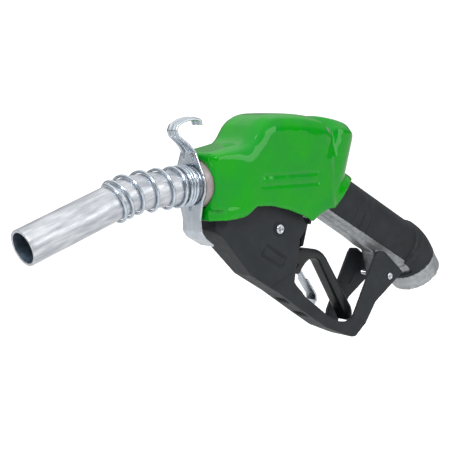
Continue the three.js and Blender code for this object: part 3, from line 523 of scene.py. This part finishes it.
@dataclass(frozen=True)
class Panel:
    """A plain framed panel pressed into a side, in place of any lettering, in millimetres."""

    x: float
    z: float
    length: float
    height: float
    slope: float
    depth: float
    edge: float
    corner: float = 2.0

    def press(self, x: float, z: float) -> float:
        """How deep the panel is pressed at a point."""
        cosine, sine = math.cos(self.slope), math.sin(self.slope)
        along = abs((x - self.x) * cosine + (z - self.z) * sine) - self.length / 2
        up = abs((z - self.z) * cosine - (x - self.x) * sine) - self.height / 2
        corner = math.hypot(max(along + self.corner, 0.0), max(up + self.corner, 0.0)) - self.corner
        inside = max(corner, along, up) if max(along, up) < 0 else corner
        return self.depth * (1 - ramp(inside, -self.edge, 0.0))

    def frame(self, x: float, z: float, border: float) -> float:
        """How deep the frame round the panel is pressed at a point.

        Args:
            x: The point's x.
            z: The point's z.
            border: How much shorter and lower the plain field inside the frame is.

        Returns:
            The depth, in millimetres.
        """
        plain = replace(self, length=self.length - border, height=self.height - border)
        return self.press(x, z) - plain.press(x, z)


# --------------------------------------------------------------------------- sub-assemblies


@dataclass
class Spout:
    """The delivery tube, its anchor spring and the nylon ring behind the hook plate."""

    radius: float = 15.1
    wall: float = 2.4
    in_body: float = SPOUT_IN_BODY
    tip_leg: float = 107.0
    sides: int = 96
    leg_steps: int = 24
    bend_steps: int = 10
    rim: float = 0.45
    port_from_tip: float = 14.0
    port_radius: float = 2.0
    wire: float = 2.6
    wire_clearance: float = 0.6
    stations: tuple[float, ...] = (-21, -15, -4, 11, 28, 44, 50.6, 53.6, 56.6, 59.6)
    points_a_turn: int = 32

    def tube(self) -> bpy.types.Object:
        """Draws the bent tube, opens its port and paints shade into its bore."""
        shape = bmesh.new()
        turn = Matrix.Translation(place(self.in_body, 0, 0)) @ Matrix.Rotation(math.pi / 2, 4, "Y")
        made = bmesh.ops.create_circle(
            shape, cap_ends=False, segments=self.sides, radius=self.radius * MM, matrix=turn,
        )
        edges = list({edge for vertex in made["verts"] for edge in vertex.link_edges})
        edges = self.pulled(shape, edges, Vector((SPOUT_TANGENT - self.in_body, 0, 0)), self.leg_steps)
        centre = place(SPOUT_TANGENT, 0, -SPOUT_BEND)
        swept = bmesh.ops.spin(
            shape, geom=edges + list({v for e in edges for v in e.verts}), cent=centre, axis=(0, 1, 0),
            angle=-SPOUT_DROOP, steps=self.bend_steps,
        )
        edges = [item for item in swept["geom_last"] if isinstance(item, bmesh.types.BMEdge)]
        leg = self.tip_leg - SPOUT_TANGENT
        reach = Vector((-math.cos(SPOUT_DROOP), 0, -math.sin(SPOUT_DROOP))) * leg
        self.pulled(shape, edges, reach, self.leg_steps)
        bmesh.ops.recalc_face_normals(shape, faces=shape.faces)
        # The inner shell's slot gets the dark blue-grey bore finish, which is painted shade inside the tube.
        piece = to_object("spout_drawn_tube", baked(shape), [DRAWN_TUBE, BORE_PAINTED_SHADE])
        wall = piece.modifiers.new("wall", "SOLIDIFY")
        wall.thickness = self.wall * MM
        wall.offset = -1
        wall.material_offset = 1
        rim = piece.modifiers.new("rim", "BEVEL")
        rim.width = self.rim * MM
        rim.segments = 3
        rim.limit_method = "ANGLE"
        rim.angle_limit = math.radians(50)
        self.open_port(piece)
        settle(piece)
        for face in piece.data.polygons:
            face.use_smooth = True
        return fasten(piece, BODY, "drawn_alloy", "spout_tube")

    def pulled(self, shape: bmesh.types.BMesh, edges: list, reach: Vector, steps: int) -> list:
        """Extends a ring of edges.

        Args:
            shape: The mesh.
            edges: The ring.
            reach: How far and which way, in millimetres.
            steps: In how many steps.

        Returns:
            The last ring of edges.
        """
        for _ in range(steps):
            made = bmesh.ops.extrude_edge_only(shape, edges=edges)["geom"]
            points = [item for item in made if isinstance(item, bmesh.types.BMVert)]
            edges = [item for item in made if isinstance(item, bmesh.types.BMEdge)]
            bmesh.ops.translate(shape, verts=points, vec=reach * MM / steps)
        return edges

    def open_port(self, piece: bpy.types.Object) -> None:
        """Bores the small port under the tip that lets the shut-off sense fuel."""
        back = self.tip_leg - self.port_from_tip
        x, z = -math.cos(SPOUT_DROOP) * back, -math.sin(SPOUT_DROOP) * back
        down = Vector((math.sin(SPOUT_DROOP), 0, -math.cos(SPOUT_DROOP)))
        drill = bmesh.new()
        start, end = (place(x, 0, z) + down * depth * MM for depth in (6, 22))
        add_bar(drill, start, end, self.port_radius, 24)
        cutter = to_object("drill", baked(drill), [])
        bore = piece.modifiers.new("port", "BOOLEAN")
        bore.object = cutter
        bore.solver = "EXACT"
        settle(piece)
        bpy.data.objects.remove(cutter)

    def coil(self) -> bpy.types.Object:
        """Winds the anchor spring: close at the bend, open along the tube, close at the plate."""
        reach = self.radius + self.wire / 2 + self.wire_clearance
        turns = len(self.stations) - 1
        curve = bpy.data.curves.new("coil", "CURVE")
        curve.dimensions = "3D"
        count = turns * self.points_a_turn + 1
        spline = curve.splines.new("POLY")
        spline.points.add(count - 1)
        for index in range(count):
            wound = index / self.points_a_turn
            spline.points[index].co = (*self.coil_point(wound, reach), 1.0)
        curve.bevel_depth = self.wire / 2 * MM
        curve.bevel_resolution = 4
        curve.use_fill_caps = True
        holder = bpy.data.objects.new("coil", curve)
        bpy.context.scene.collection.objects.link(holder)
        bpy.context.view_layer.update()
        shape = holder.evaluated_get(bpy.context.evaluated_depsgraph_get())
        mesh = bpy.data.meshes.new_from_object(shape)
        bpy.data.objects.remove(holder)
        piece = to_object("anchor_spring_wire", mesh, [ZINC_WIRE])
        return fasten(piece, BODY, "spring_wire", "anchor_spring")

    def coil_point(self, wound: float, reach: float) -> Vector:
        """Finds a point on the wire's centre line.

        Args:
            wound: Turns from the coil's front end.
            reach: The wire's distance from the tube's axis, in millimetres.

        Returns:
            The point, in metres.
        """
        before = min(int(wound), len(self.stations) - 2)
        station = self.station(before, wound - before)
        x, z, heading = SPOUT_LINE.at(self.in_body - station)
        angle = 2 * math.pi * wound
        out, across = reach * math.cos(angle), -reach * math.sin(angle)
        return place(x + out * math.sin(heading), across, z - out * math.cos(heading))

    def station(self, before: int, share: float) -> float:
        """Station along the tube, part of the way through a turn."""
        return self.stations[before] + (self.stations[before + 1] - self.stations[before]) * share

    def ring(self) -> bpy.types.Object:
        """Turns the nylon ring that the hook plate bears on."""
        low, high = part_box("spout_bushing")
        outer = (high.z - low.z) / 2 / MM
        length = (high.x - low.x) / MM
        inner, edge = self.radius + 0.35, 0.8
        shape = turned([
            (inner, 0.0), (outer - edge, 0.0), (outer - 0.25, 0.25), (outer, edge), (outer, length - edge),
            (outer - 0.25, length - 0.25), (outer - edge, length), (inner, length),
        ])
        turn = Matrix.Translation(Vector((low.x, 0, ORIGIN.z))) @ Matrix.Rotation(math.pi / 2, 4, "Y")
        bmesh.ops.transform(shape, matrix=turn, verts=shape.verts)
        piece = to_object("spout_ring", baked(shape), [GREY_NYLON])
        return fasten(piece, BODY, "grey_nylon", "spout_bushing")

    def build(self) -> None:
        """Builds the spout's pieces."""
        self.tube()
        self.coil()
        self.ring()


@dataclass
class HookPlate:
    """The stamped plate that hangs the nozzle up and stops the spring."""

    voxel: float = 0.5
    rib_height: float = 1.3
    rib_width: float = 1.5
    flat_top: float = 26.0
    curl_start: float = 42.0
    curl_x: float = 60.0
    curl_z: float = 47.0

    def build(self) -> None:
        """Presses the ribs into an evenly smoothed plate."""
        piece = grown(merged_copy("hook_plate"), "hook_plate_pressed", [ZINC_SHEET], self.voxel)
        smoothed(piece, 12)
        reshape(piece, self.ribbed)
        smoothed(piece, 3)
        fasten(piece, BODY, "zinc_sheet", "hook_plate")

    def ribbed(self, point: Vector) -> Vector | None:
        """Lifts the sheet where its ribs are pressed."""
        lift = 0.0
        if -45.0 < point.z < -17.5:
            ends = ramp(-point.z, 18.0, 22.0) * (1 - ramp(-point.z, 41.0, 45.0))
            lift = self.rib(point.y, 0.0) * ends
        elif point.z > 20.0:
            gap = 2.6 + 3.4 * (1 - ramp(point.z, 22.0, 36.0))
            ends = ramp(point.z, 20.0, 25.0)
            lift = (self.rib(point.y, gap) + self.rib(point.y, -gap)) * ends
        if lift < 0.01:
            return None
        out = self.outward(point)
        return point + out * lift * self.rib_height

    def rib(self, across: float, centre: float) -> float:
        """Height of a rib's rounded section, from nought to one."""
        return math.exp(-((across - centre) / self.rib_width) ** 2)

    def outward(self, point: Vector) -> Vector:
        """The sheet's front side at a point."""
        if point.z < self.flat_top:
            return Vector((-1, 0, 0))
        if point.z < self.curl_start:
            return Vector((-0.8, 0, -0.5)).normalized()
        return Vector((point.x - self.curl_x, 0, point.z - self.curl_z)).normalized()


@dataclass
class BodyCover:
    """The dipped vinyl cover over the body, with a plain panel in its side."""

    voxel: float = 1.0
    cap_tilt: float = math.radians(20)
    cap_x: float = 215.2
    cap_z: float = -8.2
    cap_span: tuple[float, float] = (-34.0, 46.0)
    cap_radius: float = 28.5
    collar: float = 28.5
    panel: Panel = Panel(156.0, -4.0, 74.0, 13.0, math.radians(-3.5), 0.6, 1.6)
    panel_border: float = 5.0
    lug_count: int = 6
    lug_radius: float = 2.6
    hump_z: float = -5.0
    valley_depth: float = 6.5
    valley_reach: float = 31.0
    valley_width: float = 4.5
    lower_edge: tuple[tuple[float, float], ...] = (
        (60, -32), (84, -31.6), (99, -31), (106, -27.5), (113.8, -23), (131.8, -25), (152, -31),
        (169.6, -38.3), (182.8, -45.5), (192.5, -40.3), (206, -36.5), (215.3, -37.7), (218.5, -36),
        (224.4, -29), (229, -24.7), (239.5, -17.6), (255, -13.5),
    )

    def build(self) -> None:
        """Builds the cover."""
        shape = merged_copy("body_cover")
        self.add_lugs(shape)
        piece = grown(shape, "cover_dipped", [DIPPED_VINYL], self.voxel)
        smoothed(piece, 5)
        reshape(piece, self.rounded)
        smoothed(piece, 34, self.ease)
        reshape(piece, self.pressed)
        smoothed(piece, 2)
        fasten(piece, BODY, "green_vinyl", "body_cover")

    def cap_place(self, point: Vector) -> tuple[float, float, float]:
        """Height up the rear cap's axis, and the point's two offsets from it."""
        cosine, sine = math.cos(self.cap_tilt), math.sin(self.cap_tilt)
        along_x, along_z = point.x - self.cap_x, point.z - self.cap_z
        return along_x * sine + along_z * cosine, along_x * cosine - along_z * sine, point.y

    def from_cap(self, height: float, forward: float, across: float) -> Vector:
        """Puts a point back from the rear cap's own axes."""
        cosine, sine = math.cos(self.cap_tilt), math.sin(self.cap_tilt)
        x = self.cap_x + height * sine + forward * cosine
        return Vector((x, across, self.cap_z + height * cosine - forward * sine))

    def add_lugs(self, shape: bmesh.types.BMesh) -> None:
        """Adds the lugs of the valve cap that show through the vinyl."""
        for index in range(self.lug_count):
            angle = 2 * math.pi * (index + 0.25) / self.lug_count
            inner = self.from_cap(49.6, 18.5 * math.cos(angle), 18.5 * math.sin(angle))
            outer = self.from_cap(48.2, 23.6 * math.cos(angle), 23.6 * math.sin(angle))
            add_bar(shape, place(*inner), place(*outer), self.lug_radius, 12)

    def rounded(self, point: Vector) -> Vector | None:
        """Brings flats back to the round of the rear cap and the collar."""
        height, forward, across = self.cap_place(point)
        reach = math.hypot(forward, across)
        low, high = self.cap_span
        if low < height < high and self.cap_radius - 0.6 < reach < self.cap_radius + 0.2:
            radius = self.cap_radius
            return self.from_cap(height, forward * radius / reach, across * radius / reach)
        along, up = HANDLE_LINE.locate(point.x, point.z)
        reach = math.hypot(up, point.y)
        if 4.0 < along < 36.0 and self.collar - 0.6 < reach < self.collar + 0.2:
            return HANDLE_LINE.beside(along, point.y * self.collar / reach, up * self.collar / reach)
        return self.valley(point, height, forward)

    def valley(self, point: Vector, height: float, forward: float) -> Vector | None:
        """Draws the skin in between the hump and the rear cap, where the vinyl shrinks into the gap."""
        cap_reach = math.hypot(forward, point.y)
        if forward > 0 or height < 10 or cap_reach < 20.0:
            return None
        bearing = math.atan2(abs(point.y), -forward)
        ring = math.exp(-(((cap_reach - self.valley_reach) / self.valley_width) ** 2))
        rise = ramp(height, 12.0, 40.0) * (1 - ramp(bearing, math.radians(45), math.radians(88)))
        up = point.z - self.hump_z
        share = 1 - self.valley_depth * ring * rise / math.hypot(point.y, up)
        return Vector((point.x, point.y * share, up * share + self.hump_z))

    def ease(self, point: Vector) -> float:
        """Relaxes the open sides fully and keeps the cut edges and the ledge."""
        edge = self.edge_distance(point)
        nose = abs(math.hypot(point.y, point.z) - 21.1) if point.x < 82 else 99.0
        along, up = HANDLE_LINE.locate(point.x, point.z)
        grip = abs(math.hypot(up, point.y) - 25.9) if along > -6 else 99.0
        ledge = abs(point.z + 22) if point.x < 108 else 99.0
        near = min(edge, nose, grip, 2.0 + ledge)
        return 0.12 + 0.88 * ramp(near, 1.5, 7.0)

    def edge_distance(self, point: Vector) -> float:
        """Distance from the cover's lower edge."""
        spans = zip(self.lower_edge, self.lower_edge[1:])
        return min(from_segment(point.x, point.z, (*a, *b)) for a, b in spans)

    def pressed(self, point: Vector) -> Vector | None:
        """Presses the panel's frame into both sides."""
        if abs(point.y) > 25:
            depth = self.panel.frame(point.x, point.z, self.panel_border)
            if abs(depth) > 0.01:
                return point - Vector((0, math.copysign(depth, point.y), 0))
        return None


@dataclass
class Guard:
    """The moulded lever guard, with its raised lines, plain panel and rivets."""

    voxel: float = 0.8
    front_rivet: tuple[float, float, float, float] = (148.3, -48.3, 4.6, 1.6)
    rear_rivet: tuple[float, float, float, float] = (299.5, -117.7, 3.6, 1.2)
    rivet_reach: float = 19.8
    panel: Panel = Panel(140.9, -72.3, 31.0, 12.0, math.radians(-33), 1.4, 0.6)
    panel_border: float = 4.0
    lines: tuple[tuple[float, float, float, float], ...] = (
        (140.6, -102.1, 162.0, -91.8), (279.2, -126.6, 297.0, -106.6),
    )
    line_depth: float = 0.6
    deepest: float = 1.2

    def build(self) -> None:
        """Builds the guard and its two rivets."""
        shape = merged_copy("lever_guard")
        piece = grown(shape, "guard_moulded", [MOULDED_GUARD], self.voxel)
        smoothed(piece, 7)
        reshape(piece, self.detailed)
        fasten(piece, BODY, "guard_nylon", "lever_guard")
        self.rivet("front_rivet_turned", self.front_rivet, 3.0, "front_guard_pin")
        self.rivet("rear_rivet_turned", self.rear_rivet, 2.4, "rear_guard_pin")

    def detailed(self, point: Vector) -> Vector | None:
        """Sinks the panel's frame and the rings round the rivets, and the thin lines beside them."""
        depth = 0.0
        if abs(point.y) > 10.5:
            depth += self.panel.frame(point.x, point.z, self.panel_border)
            reach = math.hypot(point.x - self.front_rivet[0], point.z - self.front_rivet[1])
            depth += 1.0 * ramp(reach, 4.0, 5.0) * (1 - ramp(reach, 6.6, 7.6))
            for ends in self.lines:
                depth += self.line_depth * (1 - ramp(from_segment(point.x, point.z, ends), 0.3, 1.3))
        if abs(depth) < 0.01:
            return None
        return point - Vector((0, math.copysign(min(depth, self.deepest), point.y), 0))

    def rivet(self, name: str, sizes: tuple[float, float, float, float], shank: float, replaced: str) -> None:
        """Turns one rivet with two domed and dimpled heads."""
        x, z, head, height = sizes
        end = self.rivet_reach + height
        half = [
            (head - 1.9, end - 0.5), (head - 1.5, end), (head - 1.0, end), (head - 0.35, end - 0.35),
            (head, end - 0.9), (head, end - height + 0.1), (shank, end - height),
        ]
        profile = [(1e-3, end - 0.6)] + half + [(r, -h) for r, h in reversed(half)] + [(1e-3, 0.6 - end)]
        shape = turned(profile, 48)
        turn = Matrix.Translation(place(x, 0, z)) @ Matrix.Rotation(math.pi / 2, 4, "X")
        bmesh.ops.transform(shape, matrix=turn, verts=shape.verts)
        fasten(to_object(name, baked(shape), [ZINC_PIN]), BODY, "zinc_pin", replaced)


@dataclass
class Handle:
    """The cast body and handle, and the moulded grip round it."""

    cast_voxel: float = 1.15
    grip_voxel: float = 0.9
    grip_radius: float = 25.3
    grip_end: float = 27.6
    boss: float = 27.0
    chevrons: tuple[float, ...] = (24.0, 36.0, 47.0)
    chevron_rise: float = 9.0
    chevron_bearing: float = math.radians(75)
    seam: float = 136.0

    def build(self) -> None:
        """Builds the casting and the grip."""
        casting = grown(merged_copy("body_casting"), "casting_die_cast", [DIE_CAST], self.cast_voxel)
        smoothed(casting, 4)
        reshape(casting, lambda point: self.round_to(point, (self.boss,)))
        smoothed(casting, 1)
        fasten(casting, BODY, "cast_alloy", "body_casting")
        grip = grown(merged_copy("grip_cover"), "grip_moulded", [MOULDED_GRIP], self.grip_voxel)
        smoothed(grip, 4)
        reshape(grip, lambda point: self.round_to(point, (self.grip_radius, self.grip_end)))
        smoothed(grip, 3)
        reshape(grip, self.chevroned)
        fasten(grip, BODY, "grip_rubber", "grip_cover")

    def round_to(self, point: Vector, radii: Sequence[float]) -> Vector | None:
        """Brings flats round the handle back to the round."""
        along, up = HANDLE_LINE.locate(point.x, point.z)
        reach = math.hypot(up, point.y)
        for radius in radii:
            if radius - 0.6 < reach < radius + 0.25 and along > 5.0:
                return HANDLE_LINE.beside(along, point.y * radius / reach, up * radius / reach)
        return None

    def chevroned(self, point: Vector) -> Vector | None:
        """Sinks the three chevron lines round the grip's front and the seam at its wide end."""
        along, up = HANDLE_LINE.locate(point.x, point.z)
        reach = math.hypot(up, point.y)
        if reach < self.grip_radius - 1.0:
            return None
        angle = math.atan2(abs(point.y), up)
        bend = self.chevron_rise * abs(angle - self.chevron_bearing) / self.chevron_bearing
        depth = 0.0
        for line in self.chevrons:
            depth = max(depth, 0.6 * (1 - ramp(abs(along - line - bend), 0.3, 1.2)))
        seam = abs(along - self.seam)
        depth = max(depth, 0.5 * (1 - ramp(seam, 0.4, 1.3)))
        if depth < 0.01:
            return None
        share = (reach - depth) / reach
        return HANDLE_LINE.beside(along, point.y * share, up * share)


@dataclass
class Trigger:
    """The lever and its hold-open clip."""

    lever_voxel: float = 0.6
    clip_voxel: float = 0.36

    def build(self) -> None:
        """Builds the lever and the clip."""
        lever = grown(merged_copy("lever"), "lever_moulded", [MOULDED_LEVER], self.lever_voxel)
        smoothed(lever, 10)
        fasten(lever, "lever", "lever_nylon", "lever")
        clip = grown(merged_copy("hold_open_clip"), "clip_pressed", [ZINC_SHEET], self.clip_voxel)
        smoothed(clip, 5)
        fasten(clip, "clip", "zinc_sheet", "hold_open_clip")


@dataclass
class Internals:
    """The CAD nodes that stay as they are, each given its own finish."""

    darkened: dict[str, Finish] = field(
        default_factory=lambda: {"valve_stem": BLACK_STEEL, "packing_nut": BLACK_STEEL},
    )

    def build(self) -> None:
        """Dresses every node that no piece stands for."""
        finishes: dict[str, Finish] = {
            "turned_alloy": TURNED_ALLOY, "drawn_alloy": DRAWN_TUBE, "cast_alloy": DIE_CAST,
            "zinc_sheet": ZINC_SHEET, "zinc_pin": ZINC_PIN, "spring_wire": ZINC_WIRE, "brass": TURNED_BRASS,
            "seal_rubber": NITRILE, "grey_nylon": GREY_NYLON, "guard_nylon": MOULDED_GUARD,
            "grip_rubber": MOULDED_GRIP, "lever_nylon": MOULDED_LEVER, "green_vinyl": DIPPED_VINYL,
        }
        slots = {item["node"]: item["material_slot"] for item in self.parts()}
        for name, made in frame["nodes"].items():
            if made.hide_render:
                continue
            finish = self.darkened.get(name) or finishes[slots[name]]
            made.data.materials.clear()
            made.data.materials.append(finish.build())
            for face in made.data.polygons:
                face.material_index = 0

    def parts(self) -> list[dict]:
        """The record's rows that give each node its material slot."""
        return find_rows(frame["record"])


def find_rows(value: object) -> list[dict]:
    """Gathers every row of the record that names a node and its material slot."""
    rows: list[dict] = []
    if isinstance(value, dict):
        if "material_slot" in value and "node" in value:
            rows.append(value)
        elif "material_slot" not in value:
            for key, item in value.items():
                if isinstance(item, dict) and "material_slot" in item and "node" not in item:
                    rows.append({"node": key, **item})
                else:
                    rows += find_rows(item)
    elif isinstance(value, list):
        for item in value:
            rows += find_rows(item)
    return rows


@dataclass
class Studio:
    """A pale floor, soft lights and the camera."""

    location: tuple[float, float, float] = (-0.858193, -0.679680, 0.228483)
    right: tuple[float, float, float] = (0.74748, -0.66262, -0.04703)
    up: tuple[float, float, float] = (0.13725, 0.08478, 0.98690)
    back: tuple[float, float, float] = (-0.64995, -0.74414, 0.15432)
    lens: float = 82.8
    floor_drop: float = 0.16

    def camera(self) -> None:
        """Sets up the camera."""
        data = bpy.data.cameras.new("studio_camera")
        data.lens = self.lens
        data.sensor_width = 36.0
        data.clip_end = 50.0
        made = bpy.data.objects.new("studio_camera", data)
        bpy.context.scene.collection.objects.link(made)
        turn = Matrix((self.right, self.up, self.back)).transposed().to_4x4()
        made.matrix_world = Matrix.Translation(self.location) @ turn
        bpy.context.scene.camera = made

    def floor(self) -> None:
        """Lays the floor a little below the nozzle."""
        shape = bmesh.new()
        low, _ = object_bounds()
        bmesh.ops.create_grid(
            shape, x_segments=1, y_segments=1, size=12.0,
            matrix=Matrix.Translation((0, 0, low.z - self.floor_drop)),
        )
        finish = bpy.data.materials.new("floor_painted")
        finish.use_nodes = True
        tree = finish.node_tree
        shader = tree.nodes["Principled BSDF"]
        shader.inputs["Base Color"].default_value = linear("E6E6E6")
        shader.inputs["Roughness"].default_value = 0.9
        shader.inputs["Specular IOR Level"].default_value = 0.0
        shader.inputs["Emission Color"].default_value = (1, 1, 1, 1)
        seen = node(tree, "ShaderNodeLightPath").outputs["Is Camera Ray"]
        glow = node(tree, "ShaderNodeMath", {0: seen, 1: 0.6}, operation="MULTIPLY").outputs[0]
        tree.links.new(glow, shader.inputs["Emission Strength"])
        made = to_object("floor", baked(shape), [])
        made.data.materials.append(finish)
        made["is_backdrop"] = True

    def light(self, name: str, at: Vector, aim: Vector, size: tuple[float, float], power: float) -> None:
        """Adds one soft box.

        Args:
            name: Its name.
            at: Where it stands, in metres.
            aim: What it faces.
            size: Its width and height, in metres.
            power: Its power, in watts.
        """
        data = bpy.data.lights.new(name, "AREA")
        data.shape = "RECTANGLE"
        data.size, data.size_y = size
        data.energy = power
        made = bpy.data.objects.new(name, data)
        bpy.context.scene.collection.objects.link(made)
        turn = (at - aim).to_track_quat("Z", "Y").to_matrix().to_4x4()
        made.matrix_world = Matrix.Translation(at) @ turn

    def world(self) -> None:
        """Lights the room from above, with walls that reflect dimmer than the ceiling."""
        world = bpy.data.worlds.new("studio_room")
        bpy.context.scene.world = world
        world.use_nodes = True
        tree = world.node_tree
        tree.nodes.clear()
        direction = node(tree, "ShaderNodeTexCoord").outputs["Generated"]
        height = node(tree, "ShaderNodeSeparateXYZ", {"Vector": direction}).outputs["Z"]
        level = node(tree, "ShaderNodeMapRange", {
            "Value": height, "From Min": 0.12, "From Max": 0.75, "To Min": 0.14, "To Max": 1.0,
        }).outputs["Result"]
        seen = node(tree, "ShaderNodeLightPath").outputs["Is Camera Ray"]
        strength = node(tree, "ShaderNodeMix", {0: seen, 2: level, 3: 1.05}, data_type="FLOAT").outputs[0]
        background = node(tree, "ShaderNodeBackground", {"Color": (1, 1, 1, 1), "Strength": strength})
        node(tree, "ShaderNodeOutputWorld", {"Surface": background.outputs["Background"]})

    def build(self) -> None:
        """Builds the studio."""
        self.camera()
        bpy.context.scene.view_settings.view_transform = "Standard"
        self.floor()
        self.world()
        middle = Vector((-0.22, 0, 0.1))
        self.light("key_box", Vector((-1.1, -0.9, 1.2)), middle, (0.5, 0.5), 6.0)
        self.light("strip_box", Vector((-0.94, -0.43, 0.70)), middle, (0.03, 0.32), 3.0)
        self.light("fill_box", Vector((0.5, -1.4, 0.5)), middle, (0.8, 0.8), 4.0)


# --------------------------------------------------------------------------- assembly


def main() -> None:
    """Builds the nozzle's looks and the studio round it."""
    logging.basicConfig(level=logging.INFO, format="%(message)s")
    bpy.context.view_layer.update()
    Studio().build()
    for part in (Spout(), HookPlate(), BodyCover(), Guard(), Handle(), Trigger(), Internals()):
        part.build()
        log.info("built %s", type(part).__name__)


if __name__ == "__main__":
    main()
